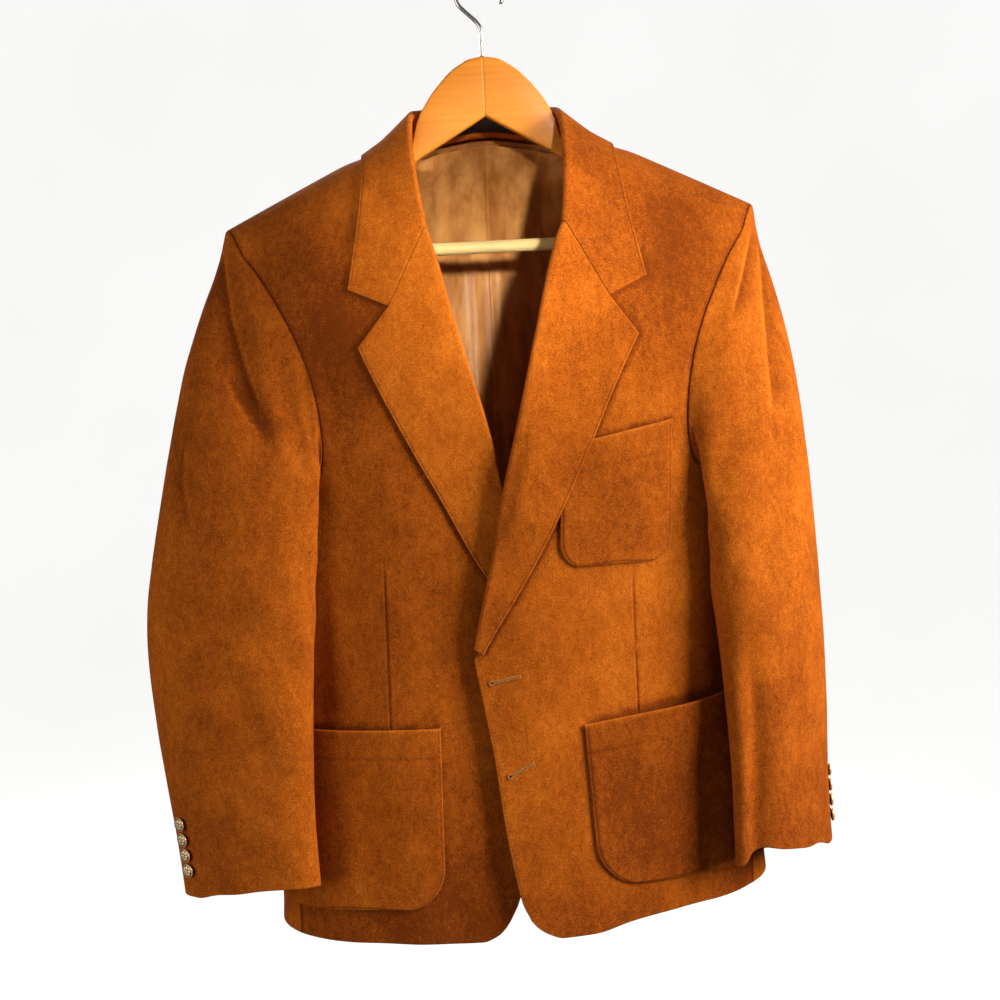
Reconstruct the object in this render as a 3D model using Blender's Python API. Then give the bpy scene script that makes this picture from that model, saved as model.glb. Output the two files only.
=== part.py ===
"""A faux suede blazer hung on a wooden suit hanger, at full size.

Sizes are in millimetres and become metres where a mesh is made. +Z is up, the front of the
jacket faces -Y and the wearer's left is at +X. The origin is the point where the hook hangs.
Each piece of cloth is a closed wall: a grid of outer points, and inner points one cloth
thickness behind them. Pieces for the wearer's right are worked out at +X and mirrored.
"""

import math
from collections import namedtuple

import bmesh
import bpy
import numpy as np

MM = 0.001

# Cloth
CLOTH = 2.0  # suede cloth with its backing
SATIN = 1.0  # lining
SEAM = 0.5  # gap between two pieces at a seam
LAY = 1.3  # gap under a piece that lies on a panel
FOLD_RADIUS = 3.6  # outer radius of the rolled edge of collar and lapels

# Body: half a plan section is a rounded oval, of a half width and two depths at each height
Girth = namedtuple("Girth", "z half_width front back")
GIRTHS = (
    Girth(-900, 227, 105, 92),
    Girth(-760, 223, 103, 90),
    Girth(-640, 218, 100, 88),
    Girth(-540, 223, 104, 92),
    Girth(-450, 232, 107, 98),
    Girth(-330, 246, 101, 99),
    Girth(-225, 262, 94, 94),
    Girth(-100, 272, 90, 90),
)
PLAN_POWER = 2.6
SHOULDER_TOP = -125  # height of the shoulder line carried on to the centre
SHOULDER_SLOPE = 0.497
SHOULDER_ROUND = 40
SHOULDER_PAD = 4.5  # how much the pads raise the line outside the collar
PAD_START = 92
PAD_FULL = 135
FRONT_REACH = 190  # height over which the front rounds off into the shoulder line
BACK_REACH = 160
LAP_DEPTH = 15  # how far the left front stands in front of the right one
LAP_WIDTH = 62
LAP_TOP = -320
LAP_FULL = -440

# Seams on the body, x towards the piece's own side
SIDE_SEAM_X = 205
UNDERARM_Z = -469
SHOULDER_POINT_X = 237
NECK_POINT_X = 80.2
NECK_EASE = 4.2  # how far outside the collar's seam the fronts are cut
Point = namedtuple("Point", "x z")
FRONT_ARMHOLE = (
    Point(205, -469),
    Point(178, -459),
    Point(163, -440),
    Point(158, -412),
    Point(160, -382),
    Point(166, -350),
    Point(177, -318),
    Point(190, -291),
    Point(206, -263),
    Point(222, -241),
)
BACK_ARMHOLE = (
    Point(205, -469),
    Point(197, -455),
    Point(190, -430),
    Point(187, -395),
    Point(188, -355),
    Point(193, -315),
    Point(204, -275),
    Point(219, -243),
)
EDGE_LEFT = (
    Point(0, -836),
    Point(-7, -820),
    Point(-12, -796),
    Point(-19, -748),
    Point(-25, -690),
    Point(-33, -636),
    Point(-38, -597),
)
EDGE_RIGHT = (
    Point(17, -838),
    Point(9, -822),
    Point(3, -796),
    Point(-5, -748),
    Point(-13, -690),
    Point(-22, -636),
    Point(-29, -597),
)
ROLL_LEFT = (
    Point(-38, -594),
    Point(-29, -555),
    Point(-16, -504),
    Point(-8, -464),
    Point(10, -396),
    Point(27, -331),
    Point(38, -288),
    Point(50, -247),
    Point(57, -230),
)
ROLL_RIGHT = (
    Point(-29, -594),
    Point(-20, -555),
    Point(-8, -504),
    Point(2, -464),
    Point(15, -400),
    Point(32, -334),
    Point(41, -297),
    Point(52, -249),
    Point(57, -230),
)
LAPEL_LEFT = (
    Point(-30, -598),
    Point(-20, -581),
    Point(3, -546),
    Point(29, -503),
    Point(55, -453),
    Point(76, -411),
    Point(95, -372),
    Point(111, -341),
    Point(118, -328),
)
LAPEL_RIGHT = (
    Point(-20, -598),
    Point(-8, -580),
    Point(13, -548),
    Point(35, -511),
    Point(58, -464),
    Point(79, -423),
    Point(96, -388),
    Point(114, -348),
    Point(122, -328),
)
LAPEL_ROOT = 7.5  # how far out from the roll line the front's own cloth is cut
LAPEL_SEAT = 5.2  # where the lapel's own cloth begins, on the same line
LAPEL_FOOT = 0.005  # of the roll line's points, where the lapel begins
LAPEL_FOOT_CUT = Point(-32.5, -594.4)
HEM_LEFT = (
    Point(0, -836),
    Point(5, -842),
    Point(14, -848.5),
    Point(28, -853.5),
    Point(56, -853),
    Point(90, -846),
    Point(120, -841),
    Point(170, -836.5),
    Point(205, -831.5),
)
HEM_RIGHT = (
    Point(17, -838),
    Point(22.5, -846),
    Point(30, -852.5),
    Point(43, -857),
    Point(72, -856.5),
    Point(127, -855),
    Point(173, -853.5),
    Point(205, -852),
)
FRONT_COLUMNS = (0, 0.025, 0.065, 0.13, 0.23, 0.34, 0.45, 0.56, 0.66, 0.75, 0.83, 0.9, 0.955, 0.9984)
BACK_COLUMNS = (0.0016, 0.14, 0.28, 0.42, 0.55, 0.67, 0.78, 0.87, 0.94, 0.9984)
LOW_ROWS = (0, 0.03, 0.09, 0.19, 0.31, 0.45, 0.56, 0.598, 0.622, 0.72, 0.86, 1)
SIDE_RISE = 2  # how much higher than the fronts the side panels end
BACK_HEM = -862

# Collar: where it is sewn on, folds and ends, by length down the cloth from the shoulder line
Seam = namedtuple("Seam", "x run")
Roll = namedtuple("Roll", "x run lift")
NECK_SEAM = (
    Seam(63, 194),
    Seam(68, 156),
    Seam(71, 116),
    Seam(74, 66),
    Seam(76, 24),
    Seam(76, 0),
    Seam(72, -32),
    Seam(60, -62),
    Seam(40, -78),
    Seam(18, -84),
    Seam(0, -85),
)
COLLAR_ROLL_LEFT = (
    Roll(57.5, 193, 0),
    Roll(61, 156, 0.5),
    Roll(63, 116, 2.5),
    Roll(64, 70, 7),
    Roll(63.5, 32, 11),
    Roll(62.5, 2, 14.5),
    Roll(58, -34, 20),
    Roll(48, -64, 29),
    Roll(33, -80, 36),
    Roll(16, -86, 39),
    Roll(0, -88, 40),
)
COLLAR_ROLL_RIGHT = (
    Roll(57.5, 193, 0),
    Roll(61.5, 156, 0.5),
    Roll(64.5, 116, 3),
    Roll(66, 70, 8.5),
    Roll(66, 32, 13.5),
    Roll(64, 2, 17.5),
    Roll(60, -34, 23.5),
    Roll(50, -64, 31.5),
    Roll(34, -80, 37),
    Roll(16, -86, 39),
    Roll(0, -88, 40),
)
COLLAR_EDGE = (
    Seam(128, 218),
    Seam(121, 177),
    Seam(115, 130),
    Seam(112, 71),
    Seam(112, 24),
    Seam(110, -12),
    Seam(101, -42),
    Seam(82, -73),
    Seam(56, -101),
    Seam(28, -119),
    Seam(0, -126),
)
NOTCH = Point(95, -294)
NOTCH_REACH = 0.62  # of the way from the roll line to the collar's point
NOTCH_FADE = (1.0, 0.55, 0.2)  # how much of the notch's bend the sections next to the gorge keep
GORGE_GAP = 1.3
STAND_LEVEL = -1.0
ROOT_LEVEL = -CLOTH

# Largest folds: a soft trough from a low to a high point, x towards the piece's own side
Fold = namedtuple("Fold", "x_low z_low x_high z_high width depth")
FOLDS_LEFT = (
    Fold(146, -930, 166, -600, 24, 5.0),
    Fold(96, -960, 88, -700, 28, 2.5),
    Fold(120, -640, 150, -430, 26, 3.0),
    Fold(150, -300, 96, -200, 24, 2.5),
)
FOLDS_RIGHT = (
    Fold(120, -960, 150, -600, 26, 4.0),
    Fold(70, -950, 78, -720, 26, 2.0),
    Fold(128, -660, 150, -420, 26, 3.5),
    Fold(150, -310, 104, -215, 24, 2.0),
)
FOLDS_BACK_LEFT = (
    Fold(60, -960, 48, -560, 28, 5.0),
    Fold(140, -960, 128, -520, 32, 6.0),
    Fold(150, -480, 120, -260, 28, 3.5),
)
FOLDS_BACK_RIGHT = (
    Fold(76, -960, 58, -500, 30, 5.0),
    Fold(150, -960, 142, -560, 28, 5.0),
    Fold(144, -460, 112, -250, 28, 3.5),
)

# Pockets: patches on the fronts, measured over the cloth from the centre line
Patch = namedtuple("Patch", "inner width top_inner top_outer bottom corner lean gape")
POCKET_LEFT = Patch(58, 172, -665, -643, -812, 40, 7, 9)
POCKET_RIGHT = Patch(72, 172, -662, -661, -825, 38, 4, 3)
POCKET_BREAST = Patch(42, 100, -421, -403, -526, 22, -5, 1.5)
POCKET_LAY = 1.3
POCKET_COLUMNS = (0, 0.12, 0.25, 0.38, 0.5, 0.61, 0.71, 0.8, 0.88, 0.95, 1)
POCKET_ROWS = (0, 0.15, 0.32, 0.5, 0.66, 0.79, 0.89, 0.96, 0.994)
LAPEL_OVER_POCKET = 4.2  # how much the lapel rises where it crosses the breast pocket

# Sleeves: a level section is an oval, its long axis turned from +X towards the back
Ring = namedtuple("Ring", "z x y half_long half_short turn")
SLEEVE_LEFT = (
    Ring(-520, 222, -66, 63, 41, 42),
    Ring(-580, 226, -69, 65, 37, 44),
    Ring(-640, 229.5, -71, 67, 34, 45),
    Ring(-700, 231, -73, 66, 31, 45),
    Ring(-750, 230, -75, 65, 29, 44),
    Ring(-800, 231, -77, 67, 27, 43),
)
SLEEVE_RIGHT = (
    Ring(-520, 244, -71, 81, 44, 17),
    Ring(-580, 249.5, -77, 82, 38, 18),
    Ring(-640, 249.5, -81, 78, 34, 19),
    Ring(-700, 248, -85, 73.5, 31, 20),
    Ring(-750, 245.5, -87, 69.5, 28, 20),
    Ring(-804, 242.5, -89, 68.5, 25, 20),
)
SLEEVE_TURN = 50  # degrees round the section from its back edge to the sleeve's crown line
UNDERARM_TURN = 28  # degrees more at the line under the arm
Crown = namedtuple("Crown", "fullness lift")
CROWN_LEFT = Crown(21, 53)
CROWN_RIGHT = Crown(30, 36)
UNDER_FULLNESS = 5
SLEEVE_CLEAR = 4.5  # gap kept between a sleeve and the body
POCKET_CLEAR = 9.0  # the same beside the lower pockets
SLEEVE_SHARES = (0, 0.022, 0.052, 0.09, 0.133, 0.175, 0.21, 0.24, 0.272, 0.315, 0.36, 0.4, 0.436, 0.468)
SLEEVE_EASE = 2  # passes that soften the sleeve's length
UNDERARM_EASE = 4.0  # how much further out the sleeve stands just under the armhole
CuffHem = namedtuple("CuffHem", "turn rise")
CUFF_HEM_LEFT = (
    CuffHem(0, 2),
    CuffHem(0.05, 8),
    CuffHem(0.09, 9),
    CuffHem(0.13, 12),
    CuffHem(0.18, 16),
    CuffHem(0.22, 19),
    CuffHem(0.255, 12),
    CuffHem(0.29, 5),
    CuffHem(0.38, 2),
    CuffHem(0.5, 1),
    CuffHem(1, 2),
)
CUFF_HEM_RIGHT = (
    CuffHem(0, 1),
    CuffHem(0.05, 6),
    CuffHem(0.09, 8),
    CuffHem(0.13, 11),
    CuffHem(0.2, 13),
    CuffHem(0.28, 13),
    CuffHem(0.36, 9),
    CuffHem(0.5, 1),
    CuffHem(0.9, 0),
    CuffHem(1, 1),
)
CUFF_TOP = -700  # where the slant of the cuff's hem begins to show
SleeveFold = namedtuple("SleeveFold", "turn_low z_low turn_high z_high width depth")
SLEEVE_FOLDS_LEFT = (
    SleeveFold(0.245, -960, 0.235, -560, 13, 9.0),
    SleeveFold(0.22, -560, 0.06, -420, 16, 4.0),
    SleeveFold(0.30, -660, 0.12, -590, 14, 3.0),
    SleeveFold(0.66, -640, 0.84, -540, 16, 4.0),
    SleeveFold(0.72, -470, 0.86, -330, 18, 4.0),
    SleeveFold(0.09, -400, 0.02, -260, 13, 3.5),
)
SLEEVE_FOLDS_RIGHT = (
    SleeveFold(0.17, -440, 0.02, -262, 14, 5.0),
    SleeveFold(0.25, -430, 0.15, -330, 13, 4.5),
    SleeveFold(0.30, -620, 0.04, -520, 16, 4.0),
    SleeveFold(0.22, -720, 0.02, -640, 15, 3.0),
    SleeveFold(0.66, -650, 0.84, -540, 16, 4.0),
    SleeveFold(0.72, -470, 0.86, -330, 18, 4.0),
)

# Buttons
CUFF_BUTTON_HEIGHTS = (-736, -750, -764, -778)
CUFF_BUTTON_RADIUS = 6.3
FRONT_BUTTON_RADIUS = 10
BUTTON_THICKNESS = 3.4
BUTTON_TURN_LEFT = -0.12  # of a turn round the sleeve from its crown line
BUTTON_TURN_RIGHT = -0.03
FRONT_BUTTON_HEIGHTS = (-620, -702)
FRONT_BUTTON_X = 1

# Hanger
Section = namedtuple("Section", "x top bottom depth y")
WOOD = (
    Section(0, -78, -130.6, 13, 0),
    Section(12, -80.0, -137.5, 13, 0),
    Section(22, -85.0, -143.2, 13, 0),
    Section(31, -91.5, -148.3, 13, 0),
    Section(39, -99.5, -152.9, 13, 0),
    Section(46, -107.5, -156.8, 13, 0),
    Section(52.5, -116.5, -160.5, 13, 0),
    Section(58, -126.0, -163.7, 13, 0),
    Section(62.5, -136.0, -166.3, 13, 0),
    Section(65.5, -150.0, -168.5, 13, 0),
    Section(80, -160.0, -176.0, 14, 0),
    Section(110, -168.0, -189.0, 16, 1),
    Section(150, -182.3, -206.0, 19, 1),
    Section(184.6, -199.1, -226.0, 22, 1),
    Section(185.6, -199.6, -256.0, 22, 1),
    Section(198, -206.3, -256.0, 22, 1),
    Section(211, -214.2, -241.0, 20, 1),
    Section(217, -220.2, -234.0, 15, 1),
)
WOOD_BEVEL = 2.6
BAR_RADIUS = 5.6
BAR_HALF = 184.2
BAR_Z = -246
BAR_Y = 1
WIRE_RADIUS = 1.8
HOOK_RADIUS = 22
HOOK_STEM_TOP = -54
HOOK_ROOT = -77.6
HOOK_END_TURN = -35  # degrees past the loop's side where the wire ends

# Lining and label
LINING_GAP = 5.0  # how far inside the backs the lining hangs
LINING_REACH = 0.6  # of the way from the centre seam to the sides
LINING_TOP = 0.997
LINING_DROP = 0.03  # how far it is cut down over the hanger's arms
LABEL_THICK = 0.8
LABEL_GAP = 0.4
LABEL_HALF = 38
LABEL_TOP = 0.68  # of the stand's height from its seam
LABEL_BOTTOM = 0.16


def smooth(keys, values, at):
    """Values at some keys of a smooth curve through a table, which never overshoots its points."""
    keys, values, at = (np.asarray(v, float) for v in (keys, values, at))
    if keys[0] > keys[-1]:
        keys, values = keys[::-1], values[::-1]
    step = np.diff(keys)
    rise = np.diff(values) / step
    slope = np.zeros_like(keys)
    slope[0], slope[-1] = rise[0], rise[-1]
    before, after = rise[:-1], rise[1:]
    same = before * after > 0
    total = np.where(same, before + after, 1)
    slope[1:-1] = np.where(same, 2 * before * after / total, 0)
    at = np.clip(at, keys[0], keys[-1])
    i = np.clip(np.searchsorted(keys, at, side="right") - 1, 0, len(step) - 1)
    t = (at - keys[i]) / step[i]
    start = (1 + 2 * t) * (1 - t) ** 2 * values[i] + t * (1 - t) ** 2 * step[i] * slope[i]
    end = t * t * (3 - 2 * t) * values[i + 1] + t * t * (t - 1) * step[i] * slope[i + 1]
    return start + end


def from_table(rows, key, value, at):
    return smooth([getattr(r, key) for r in rows], [getattr(r, value) for r in rows], at)


def fade(at, start, full):
    """0 before start, 1 past full, and a soft step between."""
    t = np.clip((np.asarray(at, float) - start) / (full - start), 0, 1)
    return t * t * (3 - 2 * t)


def unit(vectors):
    return vectors / np.linalg.norm(vectors, axis=-1, keepdims=True)


# The body's surface


def shoulder(x):
    """Height of the shoulder line."""
    drop = SHOULDER_SLOPE * (np.hypot(x, SHOULDER_ROUND) - SHOULDER_ROUND)
    return SHOULDER_TOP - drop + SHOULDER_PAD * fade(np.abs(x), PAD_START, PAD_FULL)


def run_of(x, z, reach):
    """Length over the cloth from the shoulder line down to a height."""
    drop = np.maximum(shoulder(x) - z, 0)
    turned = reach * np.arccos(np.clip(1 - drop / reach, 0, 1))
    return np.where(drop < reach, turned, reach * math.pi / 2 + drop - reach)


def height_at(x, run, reach):
    drop = np.where(
        run < reach * math.pi / 2,
        reach * (1 - np.cos(np.minimum(run / reach, math.pi / 2))),
        run - reach * (math.pi / 2 - 1),
    )
    return shoulder(x) - drop


def trough(x, z, folds):
    """How deep the large folds press the cloth in."""
    depth = np.zeros_like(np.asarray(x, float) + z)
    for f in folds:
        line = np.array([f.x_high - f.x_low, f.z_high - f.z_low], float)
        length = np.linalg.norm(line)
        along = ((x - f.x_low) * line[0] + (z - f.z_low) * line[1]) / length**2
        across = ((x - f.x_low) * line[1] - (z - f.z_low) * line[0]) / length
        window = fade(along, 0, 0.35) * fade(along, 1, 0.65)
        depth = depth + f.depth * window * np.exp(-((across / f.width) ** 2))
    return depth


def oval_depth(x, z, face):
    half = from_table(GIRTHS, "z", "half_width", z)
    rest = np.clip(1 - (np.abs(x) / half) ** PLAN_POWER, 0, 1)
    return from_table(GIRTHS, "z", face, z) * rest ** (1 / PLAN_POWER)


def rounding(x, z, reach):
    drop = np.clip((shoulder(x) - z) / reach, 0, 1)
    return np.sqrt(1 - (1 - drop) ** 2)


def front_y(x, z, side):
    """Outer face of a front: +1 is the wearer's left one, which laps over the right one."""
    lap = LAP_DEPTH / 2 * np.exp(-((x / LAP_WIDTH) ** 2)) * fade(z, LAP_TOP, LAP_FULL)
    folds = trough(x, z, FOLDS_LEFT if side > 0 else FOLDS_RIGHT)
    inset = folds * fade(np.abs(x), SIDE_SEAM_X, SIDE_SEAM_X - 30)
    return -oval_depth(x, z, "front") * rounding(x, z, FRONT_REACH) - side * lap + inset


def back_y(x, z, side):
    folds = trough(x, z, FOLDS_BACK_LEFT if side > 0 else FOLDS_BACK_RIGHT)
    inset = folds * fade(np.abs(x), SIDE_SEAM_X, SIDE_SEAM_X - 30) * fade(np.abs(x), 0, 25)
    return oval_depth(x, z, "back") * rounding(x, z, BACK_REACH) - inset


def over_cloth(x, run, side):
    """Outer point at a length from the shoulder line, down the front (+) or the back (-)."""
    x, run = np.broadcast_arrays(np.asarray(x, float), np.asarray(run, float))
    z = np.where(
        run > 0, height_at(x, run, FRONT_REACH), height_at(x, -run, BACK_REACH)
    )
    y = np.where(run > 0, front_y(x, z, side), back_y(x, z, side))
    return np.stack([x, y, z], axis=-1)


def round_body(length, z, side):
    """Outer point at a height and a length round the section, from the centre front."""
    length, z = np.broadcast_arrays(np.asarray(length, float), np.asarray(z, float))
    turn = np.linspace(0, math.pi, 241)
    out = np.empty(length.shape + (3,))
    for i in np.ndindex(length.shape):
        half = float(from_table(GIRTHS, "z", "half_width", z[i]))
        front = float(from_table(GIRTHS, "z", "front", z[i]))
        back = float(from_table(GIRTHS, "z", "back", z[i]))
        xs = half * np.abs(np.sin(turn)) ** (2 / PLAN_POWER)
        depth = np.where(turn < math.pi / 2, -front, back)
        ys = depth * np.abs(np.cos(turn)) ** (2 / PLAN_POWER)
        total = np.concatenate([[0], np.cumsum(np.hypot(np.diff(xs), np.diff(ys)))])
        x = np.interp(length[i], total, xs)
        y = np.interp(length[i], total, ys)
        if y < 0 and x < SIDE_SEAM_X:
            y = float(front_y(x, z[i], side))
        out[i] = (x, y, z[i])
    return out


# Meshes


def normals_of(surface, us, vs, outward):
    """Unit normals of a surface given as a function of two parameters from 0 to 1."""
    e = 1e-3
    across = surface(np.minimum(us + e, 1), vs) - surface(np.maximum(us - e, 0), vs)
    up = surface(us, np.minimum(vs + e, 1)) - surface(us, np.maximum(vs - e, 0))
    return outward * unit(np.cross(across, up))


def grid_normals(grid, wrap=False):
    """Unit normals at the points of a grid, from their neighbours."""
    up = np.gradient(grid, axis=0)
    if wrap:
        across = np.roll(grid, -1, axis=1) - np.roll(grid, 1, axis=1)
    else:
        across = np.gradient(grid, axis=1)
    return unit(np.cross(across, up))


def add_object(name, bm, material, smooth_angle=40):
    bmesh.ops.recalc_face_normals(bm, faces=bm.faces)
    mesh = bpy.data.meshes.new(name)
    bm.to_mesh(mesh)
    bm.free()
    mesh.shade_smooth()
    mesh.set_sharp_from_angle(angle=math.radians(smooth_angle))
    mesh.materials.append(material)
    obj = bpy.data.objects.new(name, mesh)
    bpy.context.collection.objects.link(obj)
    return obj


def add_wall(name, outer, inner, material, side=1, wrap=False):
    """A closed wall between two grids of points, open round its middle if it wraps."""
    rows, columns = outer.shape[:2]
    flip = np.array([side * MM, MM, MM])
    bm = bmesh.new()
    skins = [
        [[bm.verts.new(p) for p in row] for row in (grid * flip)] for grid in (outer, inner)
    ]
    last = columns if wrap else columns - 1
    for skin in skins:
        for r in range(rows - 1):
            for c in range(last):
                d = (c + 1) % columns
                bm.faces.new((skin[r][c], skin[r][d], skin[r + 1][d], skin[r + 1][c]))
    top, under = skins
    for r in (0, rows - 1):
        for c in range(last):
            d = (c + 1) % columns
            bm.faces.new((top[r][c], top[r][d], under[r][d], under[r][c]))
    if not wrap:
        for c in (0, columns - 1):
            for r in range(rows - 1):
                bm.faces.new((top[r][c], top[r + 1][c], under[r + 1][c], under[r][c]))
    return add_object(name, bm, material)


def add_panel(name, surface, us, vs, material, side=1, outward=1, sink=0.0, thickness=CLOTH):
    """A wall whose outer face lies on a surface, or sunk behind it."""
    grid_u, grid_v = np.meshgrid(us, vs)
    normals = normals_of(surface, grid_u, grid_v, outward)
    outer = surface(grid_u, grid_v) - normals * sink
    return add_wall(name, outer, outer - normals * thickness, material, side)


def add_material(name, colour, roughness, metallic=0.0):
    material = bpy.data.materials.new(name)
    material.use_nodes = True
    shader = material.node_tree.nodes["Principled BSDF"]
    shader.inputs["Base Color"].default_value = (*colour, 1.0)
    shader.inputs["Roughness"].default_value = roughness
    shader.inputs["Metallic"].default_value = metallic
    material.diffuse_color = (*colour, 1.0)
    return material


# Panels of the body


def edge_points(edge, rows):
    """Points of a table as x and length from the shoulder line."""
    x = np.array([p.x for p in rows], float)
    z = np.array([p.z for p in rows], float)
    return x, run_of(x, z, edge)


def blend(left, right, low, high, across, v):
    """Points inside four edge curves that meet at their corners."""
    a, b = across[..., None], v[..., None]
    corners = (1 - a) * (1 - b) * low[0] + a * (1 - b) * low[2] + (1 - a) * b * high[0]
    corners = corners + a * b * high[2]
    return (1 - a) * left + a * right + (1 - b) * low[1] + b * high[1] - corners


def hem_of(side):
    return HEM_LEFT if side > 0 else HEM_RIGHT


def side_curve(armhole, reach, side):
    """The line of a front's or a back's side from its hem up the armhole, x over length."""
    x, run = edge_points(reach, armhole)
    hem_run = run_of(SIDE_SEAM_X, hem_of(side)[-1].z, reach)
    xs = np.concatenate([[SIDE_SEAM_X], x, [SHOULDER_POINT_X]])
    return np.concatenate([[hem_run], run, [0]]), xs


def front_surface(side):
    """The outer face of a front, u from its edge to its side, v from its hem to the shoulder."""
    edge = EDGE_LEFT if side > 0 else EDGE_RIGHT
    roll = ROLL_LEFT if side > 0 else ROLL_RIGHT
    inset = [LAPEL_FOOT_CUT] if side > 0 else [LAPEL_FOOT_CUT._replace(x=LAPEL_FOOT_CUT.x + 9)]
    inset += [Point(p.x + LAPEL_ROOT, p.z) for p in roll[1:-1]]
    x, run = edge_points(FRONT_REACH, list(edge) + inset)
    left_x = np.concatenate([x, [s.x + NECK_EASE for s in NECK_SEAM[:6]]])
    left_run = np.concatenate([run, [s.run for s in NECK_SEAM[:6]]])
    right_run, right_x = side_curve(FRONT_ARMHOLE, FRONT_REACH, side)
    hem_run = right_run[0]
    hem = hem_of(side)

    def surface(u, v):
        left_at, right_at = left_run[0] * (1 - v), hem_run * (1 - v)
        left = np.stack([smooth(left_run, left_x, left_at), left_at], -1)
        right = np.stack([smooth(right_run, right_x, right_at), right_at], -1)
        x = hem[0].x + (SIDE_SEAM_X - hem[0].x) * u
        z = from_table(hem, "x", "z", x)
        low = np.stack([x, run_of(x, z, FRONT_REACH)], -1)
        x = NECK_POINT_X + (SHOULDER_POINT_X - NECK_POINT_X) * u
        high = np.stack([x, np.zeros_like(x)], -1)
        low_ends = np.array([[left_x[0], left_run[0]], [SIDE_SEAM_X, hem_run]])
        high_ends = np.array([[NECK_POINT_X, 0.0], [SHOULDER_POINT_X, 0.0]])
        flat = blend(
            left,
            right,
            (low_ends[0], low, low_ends[1]),
            (high_ends[0], high, high_ends[1]),
            u,
            v,
        )
        return over_cloth(flat[..., 0], np.maximum(flat[..., 1], 1e-4), side)

    return surface, hem_run


def back_surface(side):
    """The outer face of a back, u from the centre seam to the side, v from hem to shoulder."""
    right_run, right_x = side_curve(BACK_ARMHOLE, BACK_REACH, side)
    hem_run = right_run[0]
    side_z = hem_of(side)[-1].z
    centre_run = float(run_of(0, BACK_HEM, BACK_REACH))
    neck = NECK_SEAM[5:]
    neck_run = -neck[-1].run

    def surface(u, v):
        left_at = centre_run + (neck_run - centre_run) * v
        left = np.stack([np.zeros_like(v), left_at], -1)
        right_at = hem_run * (1 - v)
        right = np.stack([smooth(right_run, right_x, right_at), right_at], -1)
        x = SIDE_SEAM_X * u
        z = BACK_HEM + (side_z - BACK_HEM) * (x / SIDE_SEAM_X) ** 2
        low = np.stack([x, run_of(x, z, BACK_REACH)], -1)
        x = SHOULDER_POINT_X * u
        seam = np.where(x < NECK_POINT_X, -from_table(neck, "x", "run", x), 0)
        high = np.stack([x, seam], -1)
        flat = blend(
            left,
            right,
            (np.array([0, centre_run]), low, np.array([SIDE_SEAM_X, hem_run])),
            (np.array([0, neck_run]), high, np.array([SHOULDER_POINT_X, 0.0])),
            u,
            v,
        )
        return over_cloth(flat[..., 0], -np.maximum(flat[..., 1], 1e-4), side)

    return surface, hem_run


def side_surface(side):
    """The outer face under the arm, u from the front seam round to the back seam."""
    hem = hem_of(side)[-1].z + SIDE_RISE

    def surface(u, v):
        z = hem + (UNDERARM_Z - hem) * v
        z = z - 2 * (1 - v) * (2 * u - 1) ** 2
        half = from_table(GIRTHS, "z", "half_width", z)
        reach = np.arccos((SIDE_SEAM_X / half) ** (PLAN_POWER / 2))
        turn = reach * (1 - 2 * u)
        x = half * np.cos(turn) ** (2 / PLAN_POWER)
        depth = np.where(
            turn > 0, -from_table(GIRTHS, "z", "front", z), from_table(GIRTHS, "z", "back", z)
        )
        y = depth * np.abs(np.sin(turn)) ** (2 / PLAN_POWER)
        return np.stack([x, y, z], -1)

    return surface


def panel_rows(hem_run, reach, armhole):
    """Heights of the rows as v: level ones to the underarm, then closer ones up the armhole."""
    under = run_of(SIDE_SEAM_X, UNDERARM_Z, reach)
    low = hem_run + (under - hem_run) * np.array(LOW_ROWS)
    marks = run_of(np.array([p.x for p in armhole[1:]]), np.array([p.z for p in armhole[1:]]), reach)
    top = np.linspace(marks[-1], 0.35, 5)[1:]
    return 1 - np.concatenate([low, marks, top]) / hem_run


def build_body(suede):
    """Fronts, backs and side panels."""
    for name, side in (("left", 1), ("right", -1)):
        surface, hem_run = front_surface(side)
        rows = panel_rows(hem_run, FRONT_REACH, FRONT_ARMHOLE)
        add_panel("front_" + name, surface, FRONT_COLUMNS, rows, suede, side)
        surface, hem_run = back_surface(side)
        rows = panel_rows(hem_run, BACK_REACH, BACK_ARMHOLE)
        add_panel("back_" + name, surface, BACK_COLUMNS, rows, suede, side, outward=-1)
        columns = np.linspace(0.004, 0.996, 8)
        rows = np.linspace(0, 1, 9)
        add_panel("side_" + name, side_surface(side), columns, rows, suede, side)


# Collar and lapels


def cloth_normal(x, run, side):
    """Outward normal of the body's cloth."""
    e = 0.5
    across = over_cloth(x + e, run, side) - over_cloth(x - e, run, side)
    down = over_cloth(x, run + e, side) - over_cloth(x, run - e, side)
    return unit(np.cross(down, across))


def folded_section(seat, fold, bend, edge, along, radius, leaf_rows):
    """Outer points of one section, from its seat over the fold to its outer edge."""
    away = unit(fold - (seat + edge) / 2)
    out = unit(np.cross(along, away))
    centre = fold - away * radius
    points = [seat, (seat + centre - out * radius) / 2]
    for degrees in (-90, -45, 0, 45, 90):
        a = math.radians(degrees)
        points.append(centre + radius * (away * math.cos(a) + out * math.sin(a)))
    start = points[-1]
    for t in leaf_rows:
        if t < NOTCH_REACH:
            points.append(start + (bend - start) * t / NOTCH_REACH)
        else:
            points.append(bend + (edge - bend) * (t - NOTCH_REACH) / (1 - NOTCH_REACH))
    return np.array(points)


LEAF_STEPS = (0.1, 0.28, NOTCH_REACH, 0.8, 1.0)
ARC_POINTS = 7  # points of a section before its leaf
SEAT = 0  # the section's point at its seam
STAND_TOP = 2  # and the one where the stand meets the fold


def over_pocket(z, side):
    """How much the left lapel rises over the breast pocket's inner edge."""
    if side < 0:
        return 0 * z
    return LAPEL_OVER_POCKET * fade(z, POCKET_BREAST.bottom + 12, -478) * fade(z, -388, -416)


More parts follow.
